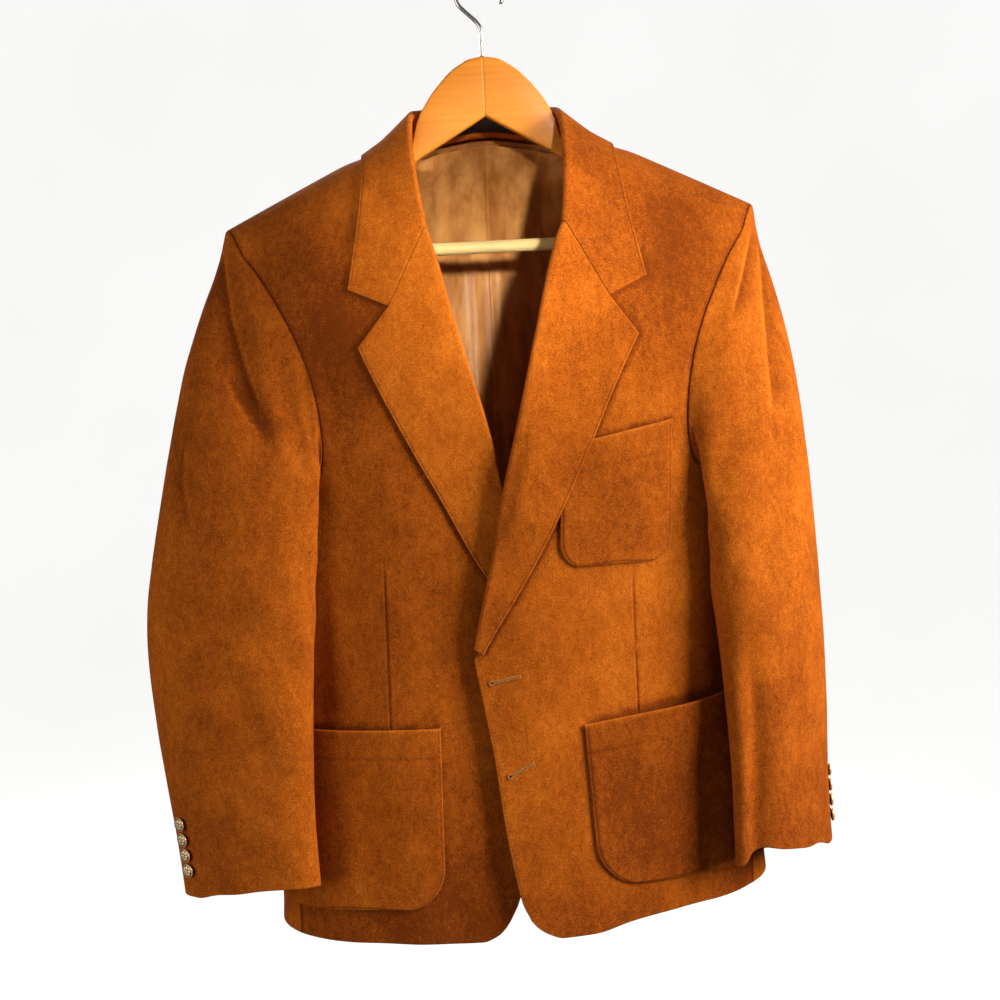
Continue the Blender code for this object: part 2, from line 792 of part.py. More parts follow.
def lay_on_cloth(points, side, lift_at_fold):
    """Move a leaf's points forward until they lie on the front."""
    x, y, z = points[..., 0], points[..., 1], points[..., 2]
    below = shoulder(x) - z
    t = np.array(LEAF_STEPS)
    gap = LAY + CLOTH + lift_at_fold * (1 - t) ** 2 + over_pocket(z, side) * fade(t, 0, 0.3)
    limit = front_y(x, np.minimum(z, shoulder(x) - 0.1), side) - gap
    free = (below < 12) | (y > 0)
    points[..., 1] = np.where(free, y, np.minimum(y, limit))
    return points


def lapel_grid(side, gorge):
    """Sections of a lapel, from its foot at the top button up to the collar's end section."""
    roll = ROLL_LEFT if side > 0 else ROLL_RIGHT
    outer = LAPEL_LEFT if side > 0 else LAPEL_RIGHT
    steps = np.linspace(0, 1, len(roll))
    grid = []
    for t in np.linspace(LAPEL_FOOT, 1, 14):
        def at(rows, t=t):
            x = float(smooth(steps, [p.x for p in rows], t))
            z = float(smooth(steps, [p.z for p in rows], t))
            return np.array([x, z])

        a, b = at(roll), at(outer)
        e = 0.01
        ahead, behind = at(roll, min(t + e, 1)), at(roll, max(t - e, 0))
        width = np.linalg.norm(b - a)
        radius = FOLD_RADIUS * min(1, 0.45 + width / 60)
        deep = radius - CLOTH
        fold = np.array([a[0], front_y(a[0], a[1], side) - deep, a[1]])
        run = float(run_of(b[0], b[1], FRONT_REACH))
        edge = np.array([b[0], front_y(b[0], b[1], side), b[1]])
        edge = edge + cloth_normal(b[0], run, side) * (LAY + CLOTH)
        root = a[0] + max(radius, min(LAPEL_SEAT, radius * 1.6))
        seat = np.array([root, front_y(root, a[1], side) + CLOTH, a[1]])
        y_ahead, y_behind = (front_y(p[0], p[1], side) for p in (ahead, behind))
        along = unit(
            np.array([ahead[0] - behind[0], y_ahead - y_behind, ahead[1] - behind[1]])
        )
        bend = fold + (edge - fold) * NOTCH_REACH
        points = folded_section(seat, fold, bend, edge, along, radius, LEAF_STEPS)
        points[ARC_POINTS:] = lay_on_cloth(points[ARC_POINTS:], side, 2 * radius - 2 * CLOTH - LAY)
        grid.append(points)
    grid = np.array(grid)
    top = gorge.copy()
    tip = grid[-1][-1]
    bend = ARC_POINTS + LEAF_STEPS.index(NOTCH_REACH)
    for index in range(bend + 1, len(top)):
        t = (LEAF_STEPS[index - ARC_POINTS] - NOTCH_REACH) / (1 - NOTCH_REACH)
        top[index] = top[bend] + (tip - top[bend]) * t
    top[ARC_POINTS:] = lay_on_cloth(top[ARC_POINTS:], side, 0.6)
    change = top + np.array([0, 0, -GORGE_GAP]) - grid[-1]
    for keep, section in zip(NOTCH_FADE, reversed(range(len(grid)))):
        grid[section] = grid[section] + change * keep
    return grid


def collar_half(side):
    """Sections of half the collar, from the gorge seam to the centre back."""
    rolls = COLLAR_ROLL_LEFT if side > 0 else COLLAR_ROLL_RIGHT
    steps = np.linspace(0, 1, len(NECK_SEAM))
    grid = []
    count = 14

    def along_table(rows, t, lifted=False):
        x = float(smooth(steps, [r.x for r in rows], t))
        run = float(smooth(steps, [r.run for r in rows], t))
        point = over_cloth(x, run, side)
        if lifted:
            point = point + np.array([0, 0, float(smooth(steps, [r.lift for r in rows], t))])
        return x, run, point

    for index, t in enumerate(np.linspace(0, 1, count)):
        e = 0.01
        stand = fade(t, 0.1, 0.6)
        x, run, seat = along_table(NECK_SEAM, t)
        normal = cloth_normal(x, run, side)
        ahead = along_table(NECK_SEAM, min(t + e, 1))[2]
        behind = along_table(NECK_SEAM, max(t - e, 0))[2]
        inwards = unit(np.cross(unit(ahead - behind), normal))
        level = ROOT_LEVEL + (STAND_LEVEL - ROOT_LEVEL) * stand
        seat = seat - inwards * (SEAM + (CLOTH + 1.0) * stand) + normal * level
        x, run, fold = along_table(rolls, t, lifted=True)
        fold = fold + cloth_normal(x, run, side) * (FOLD_RADIUS - CLOTH) * (1 - stand)
        ahead = along_table(rolls, min(t + e, 1), True)[2]
        behind = along_table(rolls, max(t - e, 0), True)[2]
        along = unit(ahead - behind)
        if t == 1:
            along = np.array([-1.0, 0, 0])
        x, run, edge = along_table(COLLAR_EDGE, t)
        edge = edge + cloth_normal(x, run, side) * (LAY + CLOTH)
        straight = fold + (edge - fold) * NOTCH_REACH
        keep = NOTCH_FADE[index] if index < len(NOTCH_FADE) else 0
        if index == 0:
            notch = np.array([NOTCH.x, front_y(NOTCH.x, NOTCH.z, side) - LAY - CLOTH, NOTCH.z])
            first_bend = notch - straight
        bend = straight + first_bend * keep
        points = folded_section(seat, fold, bend, edge, along, FOLD_RADIUS, LEAF_STEPS)
        lift = (2 * FOLD_RADIUS - 2 * CLOTH - LAY) * (1 - stand)
        points[ARC_POINTS:] = lay_on_cloth(points[ARC_POINTS:], side, lift)
        grid.append(points)
    return np.array(grid)


def build_collar(suede):
    """The collar and both lapels; returns the collar's left half."""
    left = collar_half(1)
    right = collar_half(-1) * np.array([-1, 1, 1])
    middle = (left[-1] + right[-1]) / 2
    middle[:, 0] = 0
    grid = np.concatenate([left[:-1], [middle], right[-2::-1]])
    normals = grid_normals(grid)
    add_wall("collar", grid, grid - normals * CLOTH, suede)
    for name, side in (("left", 1), ("right", -1)):
        half = left if side > 0 else right * np.array([-1, 1, 1])
        grid = lapel_grid(side, half[0])
        normals = grid_normals(grid)
        add_wall("lapel_" + name, grid, grid - normals * CLOTH, suede, side)
    return left


# Pockets


def pocket_surface(patch, side):
    """The outer face of a patch pocket, u from its inner to its outer edge, v from its mouth down."""

    def surface(u, v):
        top = patch.top_inner + (patch.top_outer - patch.top_inner) * u
        height = top - patch.bottom
        down = height * v
        curve = np.maximum(down - (height - patch.corner), 0) / patch.corner
        trim = patch.corner * (1 - np.sqrt(np.maximum(1 - curve**2, 0)))
        length = patch.inner + trim + (patch.width - 2 * trim) * u + patch.lean * (v - 0.5)
        base = round_body(length, top - down, side)
        e = 0.5
        ahead = round_body(length + e, top - down, side)
        above = round_body(length, top - down + e, side)
        normal = unit(np.cross(ahead - base, above - base))
        open_mouth = patch.gape * np.sin(math.pi * np.clip(u * 1.02, 0, 1)) ** 2
        open_mouth = open_mouth * (0.4 + 0.9 * u) * (1 - fade(v, 0, 0.55))
        return base + normal * (POCKET_LAY + CLOTH + open_mouth)[..., None]

    return surface


def build_pockets(suede):
    """The three patch pockets."""
    for name, patch, side in (
        ("pocket_left", POCKET_LEFT, 1),
        ("pocket_right", POCKET_RIGHT, -1),
        ("pocket_breast", POCKET_BREAST, 1),
    ):
        surface = pocket_surface(patch, side)
        add_panel(name, surface, POCKET_COLUMNS, POCKET_ROWS, suede, side, outward=-1)


# Sleeves


def outside_body(points, clear):
    """Move points sideways until they are clear of the body's section at their height."""
    x, y, z = points[..., 0], points[..., 1], points[..., 2]
    half = from_table(GIRTHS, "z", "half_width", z) + clear
    front = from_table(GIRTHS, "z", "front", z) + clear
    back = from_table(GIRTHS, "z", "back", z) + clear
    depth = np.where(y < 0, front, back)
    level = (np.abs(x / half) ** PLAN_POWER + np.abs(y / depth) ** PLAN_POWER) ** (1 / PLAN_POWER)
    push = np.where((level < 1) & (z < UNDERARM_Z + 14), 1 / np.maximum(level, 0.2), 1)
    return points * np.stack([push, push, np.ones_like(push)], -1)


def section_normal(point):
    """Level outward normal of the body's section through a point."""
    x, y, z = point
    half = float(from_table(GIRTHS, "z", "half_width", z))
    depth = float(from_table(GIRTHS, "z", "front" if y < 0 else "back", z))
    steep = PLAN_POWER - 1
    across = abs(x / half) ** steep / half * np.sign(x)
    deep = abs(y / depth) ** steep / depth * np.sign(y)
    return unit(np.array([across, deep, 0.0]))


def armhole_loop(side):
    """Closed curve of the armhole from the shoulder down the front and up the back."""
    runs, xs = side_curve(FRONT_ARMHOLE, FRONT_REACH, side)
    down = np.linspace(0, runs[1], 40)
    front = over_cloth(smooth(runs, xs, down), np.maximum(down, 1e-4), side)
    across = np.linspace(0.1, 0.9, 9)
    under = side_surface(side)(across, np.ones_like(across))
    runs, xs = side_curve(BACK_ARMHOLE, BACK_REACH, side)
    up = np.linspace(runs[1], 1e-4, 40)
    back = over_cloth(smooth(runs, xs, up), -up, side)
    points = np.concatenate([front, under, back])
    closed = np.vstack([points, points[:1]])
    length = np.concatenate([[0], np.cumsum(np.linalg.norm(np.diff(closed, axis=0), axis=1))])
    middle = len(front) + len(under) / 2
    half_way = np.interp(middle, np.arange(len(closed)), length)
    share = np.where(
        length < half_way,
        0.5 * length / half_way,
        0.5 + 0.5 * (length - half_way) / (length[-1] - half_way),
    )

    def at(s):
        s = np.mod(s, 1)
        return np.stack([np.interp(s, share, closed[:, k]) for k in range(3)], -1)

    return at


def sleeve_ring(rows, z, s):
    """Points of the sleeve's level section at a height."""
    column = {k: from_table(rows, "z", k, z) for k in Ring._fields[1:]}
    angle = np.radians(SLEEVE_TURN + UNDERARM_TURN * np.sin(math.pi * s) ** 2) + 2 * math.pi * s
    turn = np.radians(column["turn"])
    along = column["half_long"] * np.cos(angle)
    across = column["half_short"] * np.sin(angle)
    x = column["x"] + along * np.cos(turn) + across * np.sin(turn)
    y = column["y"] + along * np.sin(turn) - across * np.cos(turn)
    return np.stack([x, y, z + np.zeros_like(x)], -1)


def sleeve_folds(grid, s, normals, folds):
    """Press the sleeve's soft folds into its points."""
    z = grid[..., 2]
    girth = 370
    depth = np.zeros_like(z)
    for f in folds:
        line = np.array([(f.turn_high - f.turn_low) * girth, f.z_high - f.z_low])
        length = np.linalg.norm(line)
        away = (np.mod(s - f.turn_low + 0.5, 1) - 0.5) * girth
        along = (away * line[0] + (z - f.z_low) * line[1]) / length**2
        across = (away * line[1] - (z - f.z_low) * line[0]) / length
        window = fade(along, 0, 0.3) * fade(along, 1, 0.7)
        depth = depth + f.depth * window * np.exp(-((across / f.width) ** 2))
    return grid - normals * depth[..., None]


def sleeve_grids(side):
    """Outer and inner points of a sleeve, from the armhole down to the cuff."""
    rows = SLEEVE_LEFT if side > 0 else SLEEVE_RIGHT
    folds = SLEEVE_FOLDS_LEFT if side > 0 else SLEEVE_FOLDS_RIGHT
    s = np.array(SLEEVE_SHARES)
    s = np.concatenate([s, [0.5], 1 - s[:0:-1]])
    loop = armhole_loop(side)
    seam = loop(s)
    along = unit(loop(s + 0.01) - loop(s - 0.01))
    normal = np.empty_like(seam)
    for i, p in enumerate(seam):
        if p[2] < UNDERARM_Z + 30:
            normal[i] = section_normal(p)
            continue
        run = run_of(p[0], p[2], FRONT_REACH) if p[1] < 0 else -run_of(p[0], p[2], BACK_REACH)
        normal[i] = cloth_normal(p[0], run if abs(run) > 1 else 1.0, side)
    opening = unit(np.cross(normal, along))
    beta = math.pi * (1 - np.cos(2 * math.pi * s)) / 2
    inwards = -np.cos(beta)[:, None] * normal + np.sin(beta)[:, None] * opening
    under = (np.sin(math.pi * s) ** 5)[:, None]
    first = seam + opening * SEAM + normal * SLEEVE_CLEAR * under

    ring = sleeve_ring(rows, rows[0].z, s)
    outwards = unit(ring - ring.mean(axis=0))
    crown = CROWN_LEFT if side > 0 else CROWN_RIGHT
    fullness = UNDER_FULLNESS + (crown.fullness - UNDER_FULLNESS) * (1 + np.cos(2 * math.pi * s)) / 2
    lift = crown.lift * np.maximum(np.cos(2 * math.pi * s), 0)
    control = (first + ring) / 2 + outwards * fullness[:, None] + np.outer(lift, [0, 0, 1])
    layers = []
    for t in np.linspace(0, 1, 9)[:-1]:
        layers.append((1 - t) ** 2 * first + 2 * t * (1 - t) * control + t * t * ring)
    for z in np.linspace(rows[0].z, rows[-1].z, 10):
        layers.append(sleeve_ring(rows, z, s))
    grid = np.array(layers)
    for _ in range(SLEEVE_EASE):
        grid[1:-1] = (grid[:-2] + 2 * grid[1:-1] + grid[2:]) / 4
        grid[1:] = (np.roll(grid, 1, axis=1) + 2 * grid + np.roll(grid, -1, axis=1))[1:] / 4
    normals = grid_normals(grid, wrap=True)
    grid[1:] = sleeve_folds(grid, s[None, :], normals, folds)[1:]
    rise = from_table(CUFF_HEM_LEFT if side > 0 else CUFF_HEM_RIGHT, "turn", "rise", s)
    grid[..., 2] += rise * fade(grid[..., 2], CUFF_TOP, rows[-1].z)
    clear = SLEEVE_CLEAR + (POCKET_CLEAR - SLEEVE_CLEAR) * fade(grid[..., 2], -560, -640)
    clear = clear + UNDERARM_EASE * fade(grid[..., 2], -520, -490)
    grid[1:] = outside_body(grid, clear)[1:]
    normals = grid_normals(grid, wrap=True)
    inner = grid - normals * CLOTH
    inner[0] = grid[0] + inwards * CLOTH
    return grid, inner


def build_sleeves(suede):
    """Both sleeves; returns their outer points."""
    grids = {}
    for name, side in (("left", 1), ("right", -1)):
        outer, inner = sleeve_grids(side)
        add_wall("sleeve_" + name, outer, inner, suede, side, wrap=True)
        grids[name] = outer
    return grids


# Lining and label


def build_lining(satin):
    """The back lining: one sheet inside both backs, from side to side."""
    right_half, left_half = (back_surface(side)[0] for side in (-1, 1))

    def surface(u, v):
        v = v - LINING_DROP * v * fade(np.abs(2 * u - 1), 0.18, 0.34)
        right = right_half(np.maximum(1 - 2 * u, 0), v) * np.array([-1, 1, 1])
        left = left_half(np.maximum(2 * u - 1, 0), v)
        return np.where((u < 0.5)[..., None], right, left)

    columns = np.linspace(0.5 - LINING_REACH / 2, 0.5 + LINING_REACH / 2, 13)
    rows = np.append(np.linspace(0.04, 0.73, 8), (0.8, 0.86, 0.91, 0.95, 0.98, LINING_TOP))
    sink = CLOTH + LINING_GAP
    add_panel(
        "lining_back", surface, columns, rows, satin, outward=-1, sink=sink, thickness=SATIN
    )


def build_label(black, collar):
    """The neck label, on the collar's stand at the centre back."""
    half = collar[-6:, [SEAT, STAND_TOP]]
    sections = np.concatenate([half, (half * np.array([-1, 1, 1]))[-2::-1]])
    grid = []
    for x in np.linspace(-LABEL_HALF, LABEL_HALF, 9):
        seat, top = (
            np.array([np.interp(-x, -line[:, 0], line[:, c]) for c in range(3)])
            for line in (sections[:, 0], sections[:, 1])
        )
        grid.append([seat + (top - seat) * t for t in (LABEL_BOTTOM, 0.45, LABEL_TOP)])
    grid = np.array(grid)
    normals = grid_normals(grid)
    normals = normals * -np.sign(normals[4, 1, 1])
    under = grid + normals * LABEL_GAP
    add_wall("label", under + normals * LABEL_THICK, under, black)


# Buttons and hanger


def turned(name, profile, centre, axis, material, sides=12):
    """A button turned from a profile of radius and height, its face towards the axis."""
    axis = unit(np.asarray(axis, float))
    helper = np.array([0, 0, 1.0]) if abs(axis[2]) < 0.9 else np.array([1.0, 0, 0])
    first = unit(np.cross(helper, axis))
    second = np.cross(axis, first)
    bm = bmesh.new()
    rings = []
    for radius, height in profile:
        if radius == 0:
            rings.append([bm.verts.new((centre + axis * height) * MM)])
            continue
        ring = []
        for k in range(sides):
            a = 2 * math.pi * k / sides
            spoke = first * math.cos(a) + second * math.sin(a)
            ring.append(bm.verts.new((centre + axis * height + spoke * radius) * MM))
        rings.append(ring)
    for low, high in zip(rings, rings[1:]):
        for k in range(sides):
            j = (k + 1) % sides
            loop = [low[k % len(low)], low[j % len(low)], high[j % len(high)], high[k % len(high)]]
            bm.faces.new(list(dict.fromkeys(loop)))
    return add_object(name, bm, material, 50)


def button_profile(radius):
    """A domed button with a rim and a short shank behind it."""
    return (
        (0, -BUTTON_THICKNESS * 0.62),
        (radius * 0.3, -BUTTON_THICKNESS * 0.62),
        (radius * 0.3, 0),
        (radius * 0.9, 0),
        (radius, BUTTON_THICKNESS * 0.3),
        (radius * 0.86, BUTTON_THICKNESS * 0.62),
        (radius * 0.5, BUTTON_THICKNESS * 0.8),
        (0, BUTTON_THICKNESS * 0.9),
    )


def build_buttons(brass, sleeves):
    """Four buttons on each cuff and two on the right front."""
    shank = BUTTON_THICKNESS * 0.62 + 0.3
    for name, side in (("left", 1), ("right", -1)):
        outer = sleeves[name]
        s = np.mod(BUTTON_TURN_LEFT if side > 0 else BUTTON_TURN_RIGHT, 1) * outer.shape[1]
        low, high = int(s), (int(s) + 1) % outer.shape[1]
        track = outer[:, low] * (1 - s % 1) + outer[:, high] * (s % 1)
        normals = grid_normals(outer, wrap=True)
        facing = normals[:, low] * (1 - s % 1) + normals[:, high] * (s % 1)
        order = np.argsort(track[:, 2])
        for number, z in enumerate(CUFF_BUTTON_HEIGHTS, start=1):
            centre = np.array([np.interp(z, track[order, 2], track[order, k]) for k in range(3)])
            axis = unit(np.array([np.interp(z, track[order, 2], facing[order, k]) for k in range(3)]))
            flip = np.array([side, 1, 1])
            centre = (centre + axis * shank) * flip
            label = f"cuff_button_{name}_{number}"
            turned(label, button_profile(CUFF_BUTTON_RADIUS), centre, axis * flip, brass)
    for number, z in enumerate(FRONT_BUTTON_HEIGHTS, start=1):
        x = FRONT_BUTTON_X
        centre = np.array([-x, float(front_y(x, z, -1)) - shank - 0.8, z])
        profile = button_profile(FRONT_BUTTON_RADIUS)
        turned(f"front_button_{number}", profile, centre, (0, -1, 0), brass)


def wood_section(row):
    """Outline of the hanger's wood across its arm: a box with bevelled edges."""
    half = row.depth / 2
    bevel = min(WOOD_BEVEL, (row.top - row.bottom) * 0.3)
    return (
        (row.y - half, row.bottom + bevel),
        (row.y - half, row.top - bevel),
        (row.y - half + bevel, row.top),
        (row.y + half - bevel, row.top),
        (row.y + half, row.top - bevel),
        (row.y + half, row.bottom + bevel),
        (row.y + half - bevel, row.bottom),
        (row.y - half + bevel, row.bottom),
    )


def build_hanger(wood, steel):
    """The shaped wood, the trouser bar and the wire hook."""
    half = list(WOOD)
    whole = [row._replace(x=-row.x) for row in reversed(half[1:])] + half
    bm = bmesh.new()
    rings = [[bm.verts.new((row.x * MM, y * MM, z * MM)) for y, z in wood_section(row)] for row in whole]
    for low, high in zip(rings, rings[1:]):
        for k in range(len(low)):
            j = (k + 1) % len(low)
            bm.faces.new((low[k], low[j], high[j], high[k]))
    bm.faces.new(rings[0])
    bm.faces.new(rings[-1])
    add_object("hanger_wood", bm, wood, 35)

    bm = bmesh.new()
    rings = []
    for x in (-BAR_HALF, BAR_HALF):
        ring = []
        for k in range(16):
            a = 2 * math.pi * k / 16
            y, z = BAR_Y + BAR_RADIUS * math.cos(a), BAR_Z + BAR_RADIUS * math.sin(a)
            ring.append(bm.verts.new((x * MM, y * MM, z * MM)))
        rings.append(ring)
    for k in range(16):
        j = (k + 1) % 16
        bm.faces.new((rings[0][k], rings[0][j], rings[1][j], rings[1][k]))
    bm.faces.new(rings[0])
    bm.faces.new(rings[1])
    add_object("hanger_bar", bm, wood, 35)

    loop_z = WIRE_RADIUS - HOOK_RADIUS
    path = [(0, HOOK_ROOT), (0, -68), (0, HOOK_STEM_TOP)]
    start = 222
    joint = np.array([HOOK_RADIUS * math.cos(math.radians(start)), 0])
    joint[1] = loop_z + HOOK_RADIUS * math.sin(math.radians(start))
    path.append((joint[0] * 0.45, (HOOK_STEM_TOP * 0.45 + joint[1] * 0.55)))
    for degrees in np.linspace(start, HOOK_END_TURN, 18):
        a = math.radians(degrees)
        path.append((HOOK_RADIUS * math.cos(a), loop_z + HOOK_RADIUS * math.sin(a)))
    curve = bpy.data.curves.new("hanger_hook", "CURVE")
    curve.dimensions = "3D"
    curve.bevel_depth = WIRE_RADIUS * MM
    curve.bevel_resolution = 2
    curve.use_fill_caps = True
    spline = curve.splines.new("POLY")
    spline.points.add(len(path) - 1)
    for point, (x, z) in zip(spline.points, path):
        point.co = (x * MM, 0, z * MM, 1)
    curve.materials.append(steel)
    hook = bpy.data.objects.new("hanger_hook", curve)
    bpy.context.collection.objects.link(hook)


def main():
    for obj in list(bpy.data.objects):
        bpy.data.objects.remove(obj)
    suede = add_material("suede", (0.42, 0.145, 0.028), 0.9)
    satin = add_material("satin", (0.42, 0.22, 0.08), 0.35)
    black = add_material("label", (0.01, 0.009, 0.009), 0.8)
    wood = add_material("wood", (0.70, 0.36, 0.10), 0.35)
    steel = add_material("steel", (0.62, 0.60, 0.58), 0.25, 1.0)
    brass = add_material("brass", (0.45, 0.31, 0.15), 0.4, 1.0)
    build_body(suede)
    collar = build_collar(suede)
    build_pockets(suede)
    sleeves = build_sleeves(suede)
    build_lining(satin)
    build_label(black, collar)
    build_buttons(brass, sleeves)
    build_hanger(wood, steel)


main()
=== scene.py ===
"""Looks of the faux suede blazer on its wooden hanger.

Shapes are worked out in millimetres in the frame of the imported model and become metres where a
mesh is made: +Z is up, the front faces -Y, the wearer's left is at +X, the hook hangs at the
origin. The tables and the large shapes are those of the solids; this script adds the finer
cloth: rolled edges, seams, darts, creases, stitches, buttonholes, buttons and materials.
"""

import math
from collections import namedtuple

import bpy
import numpy as np
from mathutils import Matrix, Vector


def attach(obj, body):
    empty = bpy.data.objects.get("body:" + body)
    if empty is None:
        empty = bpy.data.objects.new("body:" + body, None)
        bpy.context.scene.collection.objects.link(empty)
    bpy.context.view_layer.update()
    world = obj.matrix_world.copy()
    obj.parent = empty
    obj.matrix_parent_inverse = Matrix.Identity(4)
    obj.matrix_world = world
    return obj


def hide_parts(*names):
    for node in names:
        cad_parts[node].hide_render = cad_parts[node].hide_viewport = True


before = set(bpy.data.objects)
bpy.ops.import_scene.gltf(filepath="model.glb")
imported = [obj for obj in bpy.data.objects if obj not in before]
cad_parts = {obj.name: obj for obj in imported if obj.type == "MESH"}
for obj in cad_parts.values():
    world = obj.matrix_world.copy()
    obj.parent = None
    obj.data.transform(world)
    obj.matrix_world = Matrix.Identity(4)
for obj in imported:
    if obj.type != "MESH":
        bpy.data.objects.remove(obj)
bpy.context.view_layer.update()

MM = 0.001
MIRROR = np.array([-1, 1, 1])

# Cloth
CLOTH = 2.0  # suede cloth with its backing
SATIN = 1.0  # lining
SEAM = 0.2  # gap between two pieces at a seam
LAY = 1.3  # gap under a piece that lies on a panel
FOLD_RADIUS = 3.6  # outer radius of the rolled edge of collar and lapels


def table(kind, *values):
    """A table from its rows' values."""
    return tuple(kind(*v) for v in values)


# Body: half a plan section is a rounded oval, of a half width and two depths at each height
Girth = namedtuple("Girth", "z half_width front back")
GIRTHS = table(
    Girth, (-900, 227, 105, 92), (-760, 223, 103, 90), (-640, 218, 100, 88), (-540, 223, 104, 92),
    (-450, 232, 107, 98), (-330, 246, 101, 99), (-225, 262, 94, 94), (-100, 272, 90, 90),
)
PLAN_POWER = 2.6
SHOULDER_TOP = -125  # height of the shoulder line carried on to the centre
SHOULDER_SLOPE = 0.497
SHOULDER_ROUND = 40
SHOULDER_PAD = 4.5  # how much the pads raise the line outside the collar
PAD_START = 92
PAD_FULL = 135
FRONT_REACH = 190  # height over which the front rounds off into the shoulder line
BACK_REACH = 160
LAP_DEPTH = 15  # how far the left front stands in front of the right one
LAP_WIDTH = 62
LAP_TOP = -320
LAP_FULL = -440

# Seams on the body, x towards the piece's own side
SIDE_SEAM_X = 205
UNDERARM_Z = -469
SHOULDER_POINT_X = 237
NECK_POINT_X = 80.2
NECK_EASE = 4.2  # how far outside the collar's seam the fronts are cut
Point = namedtuple("Point", "x z")
FRONT_ARMHOLE = table(
    Point, (205, -469), (178, -459), (163, -440), (158, -412), (160, -382), (166, -350),
    (177, -318), (190, -291), (206, -263), (222, -241),
)
BACK_ARMHOLE = table(
    Point, (205, -469), (197, -455), (190, -430), (187, -395), (188, -355), (193, -315),
    (204, -275), (219, -243),
)
EDGE_LEFT = table(
    Point, (0, -836), (-7, -820), (-12, -796), (-19, -748), (-25, -690), (-33, -636), (-38, -597),
)
EDGE_RIGHT = table(
    Point, (17, -838), (9, -822), (3, -796), (-5, -748), (-13, -690), (-22, -636), (-29, -597),
)
ROLL_LEFT = table(
    Point, (-38, -594), (-29, -555), (-16, -504), (-8, -464), (10, -396), (27, -331), (38, -288),
    (50, -247), (57, -230),
)
ROLL_RIGHT = table(
    Point, (-29, -594), (-20, -555), (-8, -504), (2, -464), (15, -400), (32, -334), (41, -297),
    (52, -249), (57, -230),
)
LAPEL_LEFT = table(
    Point, (-30, -598), (-20, -581), (3, -546), (29, -503), (55, -453), (76, -411), (95, -372),
    (111, -341), (118, -328),
)
LAPEL_RIGHT = table(
    Point, (-20, -598), (-8, -580), (13, -548), (35, -511), (58, -464), (79, -423), (96, -388),
    (114, -348), (122, -328),
)
LAPEL_ROOT = 7.5  # how far out from the roll line the front's own cloth is cut
LAPEL_SEAT = 5.2  # where the lapel's own cloth begins, on the same line
LAPEL_FOOT = 0.005  # of the roll line's points, where the lapel begins
LAPEL_FOOT_CUT = Point(-32.5, -594.4)
HEM_LEFT = table(
    Point, (0, -836), (5, -842), (14, -848.5), (28, -853.5), (56, -853), (90, -846), (120, -841),
    (170, -836.5), (205, -831.5),
)
HEM_RIGHT = table(
    Point, (17, -838), (22.5, -846), (30, -852.5), (43, -857), (72, -856.5), (127, -855),
    (173, -853.5), (205, -852),
)
SIDE_RISE = 2  # how much higher than the fronts the side panels end
BACK_HEM = -862

# Collar: where it is sewn on, folds and ends, by length down the cloth from the shoulder line
Seam = namedtuple("Seam", "x run")
Roll = namedtuple("Roll", "x run lift")
NECK_SEAM = table(
    Seam, (63, 194), (68, 156), (71, 116), (74, 66), (76, 24), (76, 0), (72, -32), (60, -62),
    (40, -78), (18, -84), (0, -85),
)
COLLAR_ROLL_LEFT = table(
    Roll, (57.5, 193, 0), (61, 156, 0.5), (63, 116, 2.5), (64, 70, 7), (63.5, 32, 11),
    (62.5, 2, 14.5), (58, -34, 20), (48, -64, 29), (33, -80, 36), (16, -86, 39), (0, -88, 40),
)
COLLAR_ROLL_RIGHT = table(
    Roll, (57.5, 193, 0), (61.5, 156, 0.5), (64.5, 116, 3), (66, 70, 8.5), (66, 32, 13.5),
    (64, 2, 17.5), (60, -34, 23.5), (50, -64, 31.5), (34, -80, 37), (16, -86, 39), (0, -88, 40),
)
COLLAR_EDGE = table(
    Seam, (128, 218), (121, 177), (115, 130), (112, 71), (112, 24), (110, -12), (101, -42),
    (82, -73), (56, -101), (28, -119), (0, -126),
)
NOTCH = Point(95, -294)
NOTCH_REACH = 0.62  # of the way from the roll line to the collar's point
NOTCH_FADE = (1.0, 0.55, 0.2)  # how much of the notch's bend the sections next to the gorge keep
GORGE_GAP = 0.45
STAND_LEVEL = -1.0
ROOT_LEVEL = -CLOTH

# Largest folds: a soft trough from a low to a high point, x towards the piece's own side
Fold = namedtuple("Fold", "x_low z_low x_high z_high width depth")
FOLDS_LEFT = table(
    Fold, (146, -930, 166, -600, 24, 5.0), (96, -960, 88, -700, 28, 2.5),
    (120, -640, 150, -430, 26, 3.0), (150, -300, 96, -200, 24, 2.5),
)
FOLDS_RIGHT = table(
    Fold, (120, -960, 150, -600, 26, 4.0), (70, -950, 78, -720, 26, 2.0),
    (128, -660, 150, -420, 26, 3.5), (150, -310, 104, -215, 24, 2.0),
)
FOLDS_BACK_LEFT = table(
    Fold, (60, -960, 48, -560, 28, 5.0), (140, -960, 128, -520, 32, 6.0),
    (150, -480, 120, -260, 28, 3.5),
)
FOLDS_BACK_RIGHT = table(
    Fold, (76, -960, 58, -500, 30, 5.0), (150, -960, 142, -560, 28, 5.0),
    (144, -460, 112, -250, 28, 3.5),
)

# Pockets: patches on the fronts, measured over the cloth from the centre line
Patch = namedtuple("Patch", "inner width top_inner top_outer bottom corner lean gape")
POCKET_LEFT = Patch(58, 172, -665, -643, -812, 40, 7, 9)
POCKET_RIGHT = Patch(72, 172, -662, -661, -825, 38, 4, 3)
POCKET_BREAST = Patch(42, 100, -421, -403, -526, 22, -5, 1.5)
POCKET_LAY = 1.3
POCKET_HEM = 26
LAPEL_OVER_POCKET = 4.2  # how much the lapel rises where it crosses the breast pocket

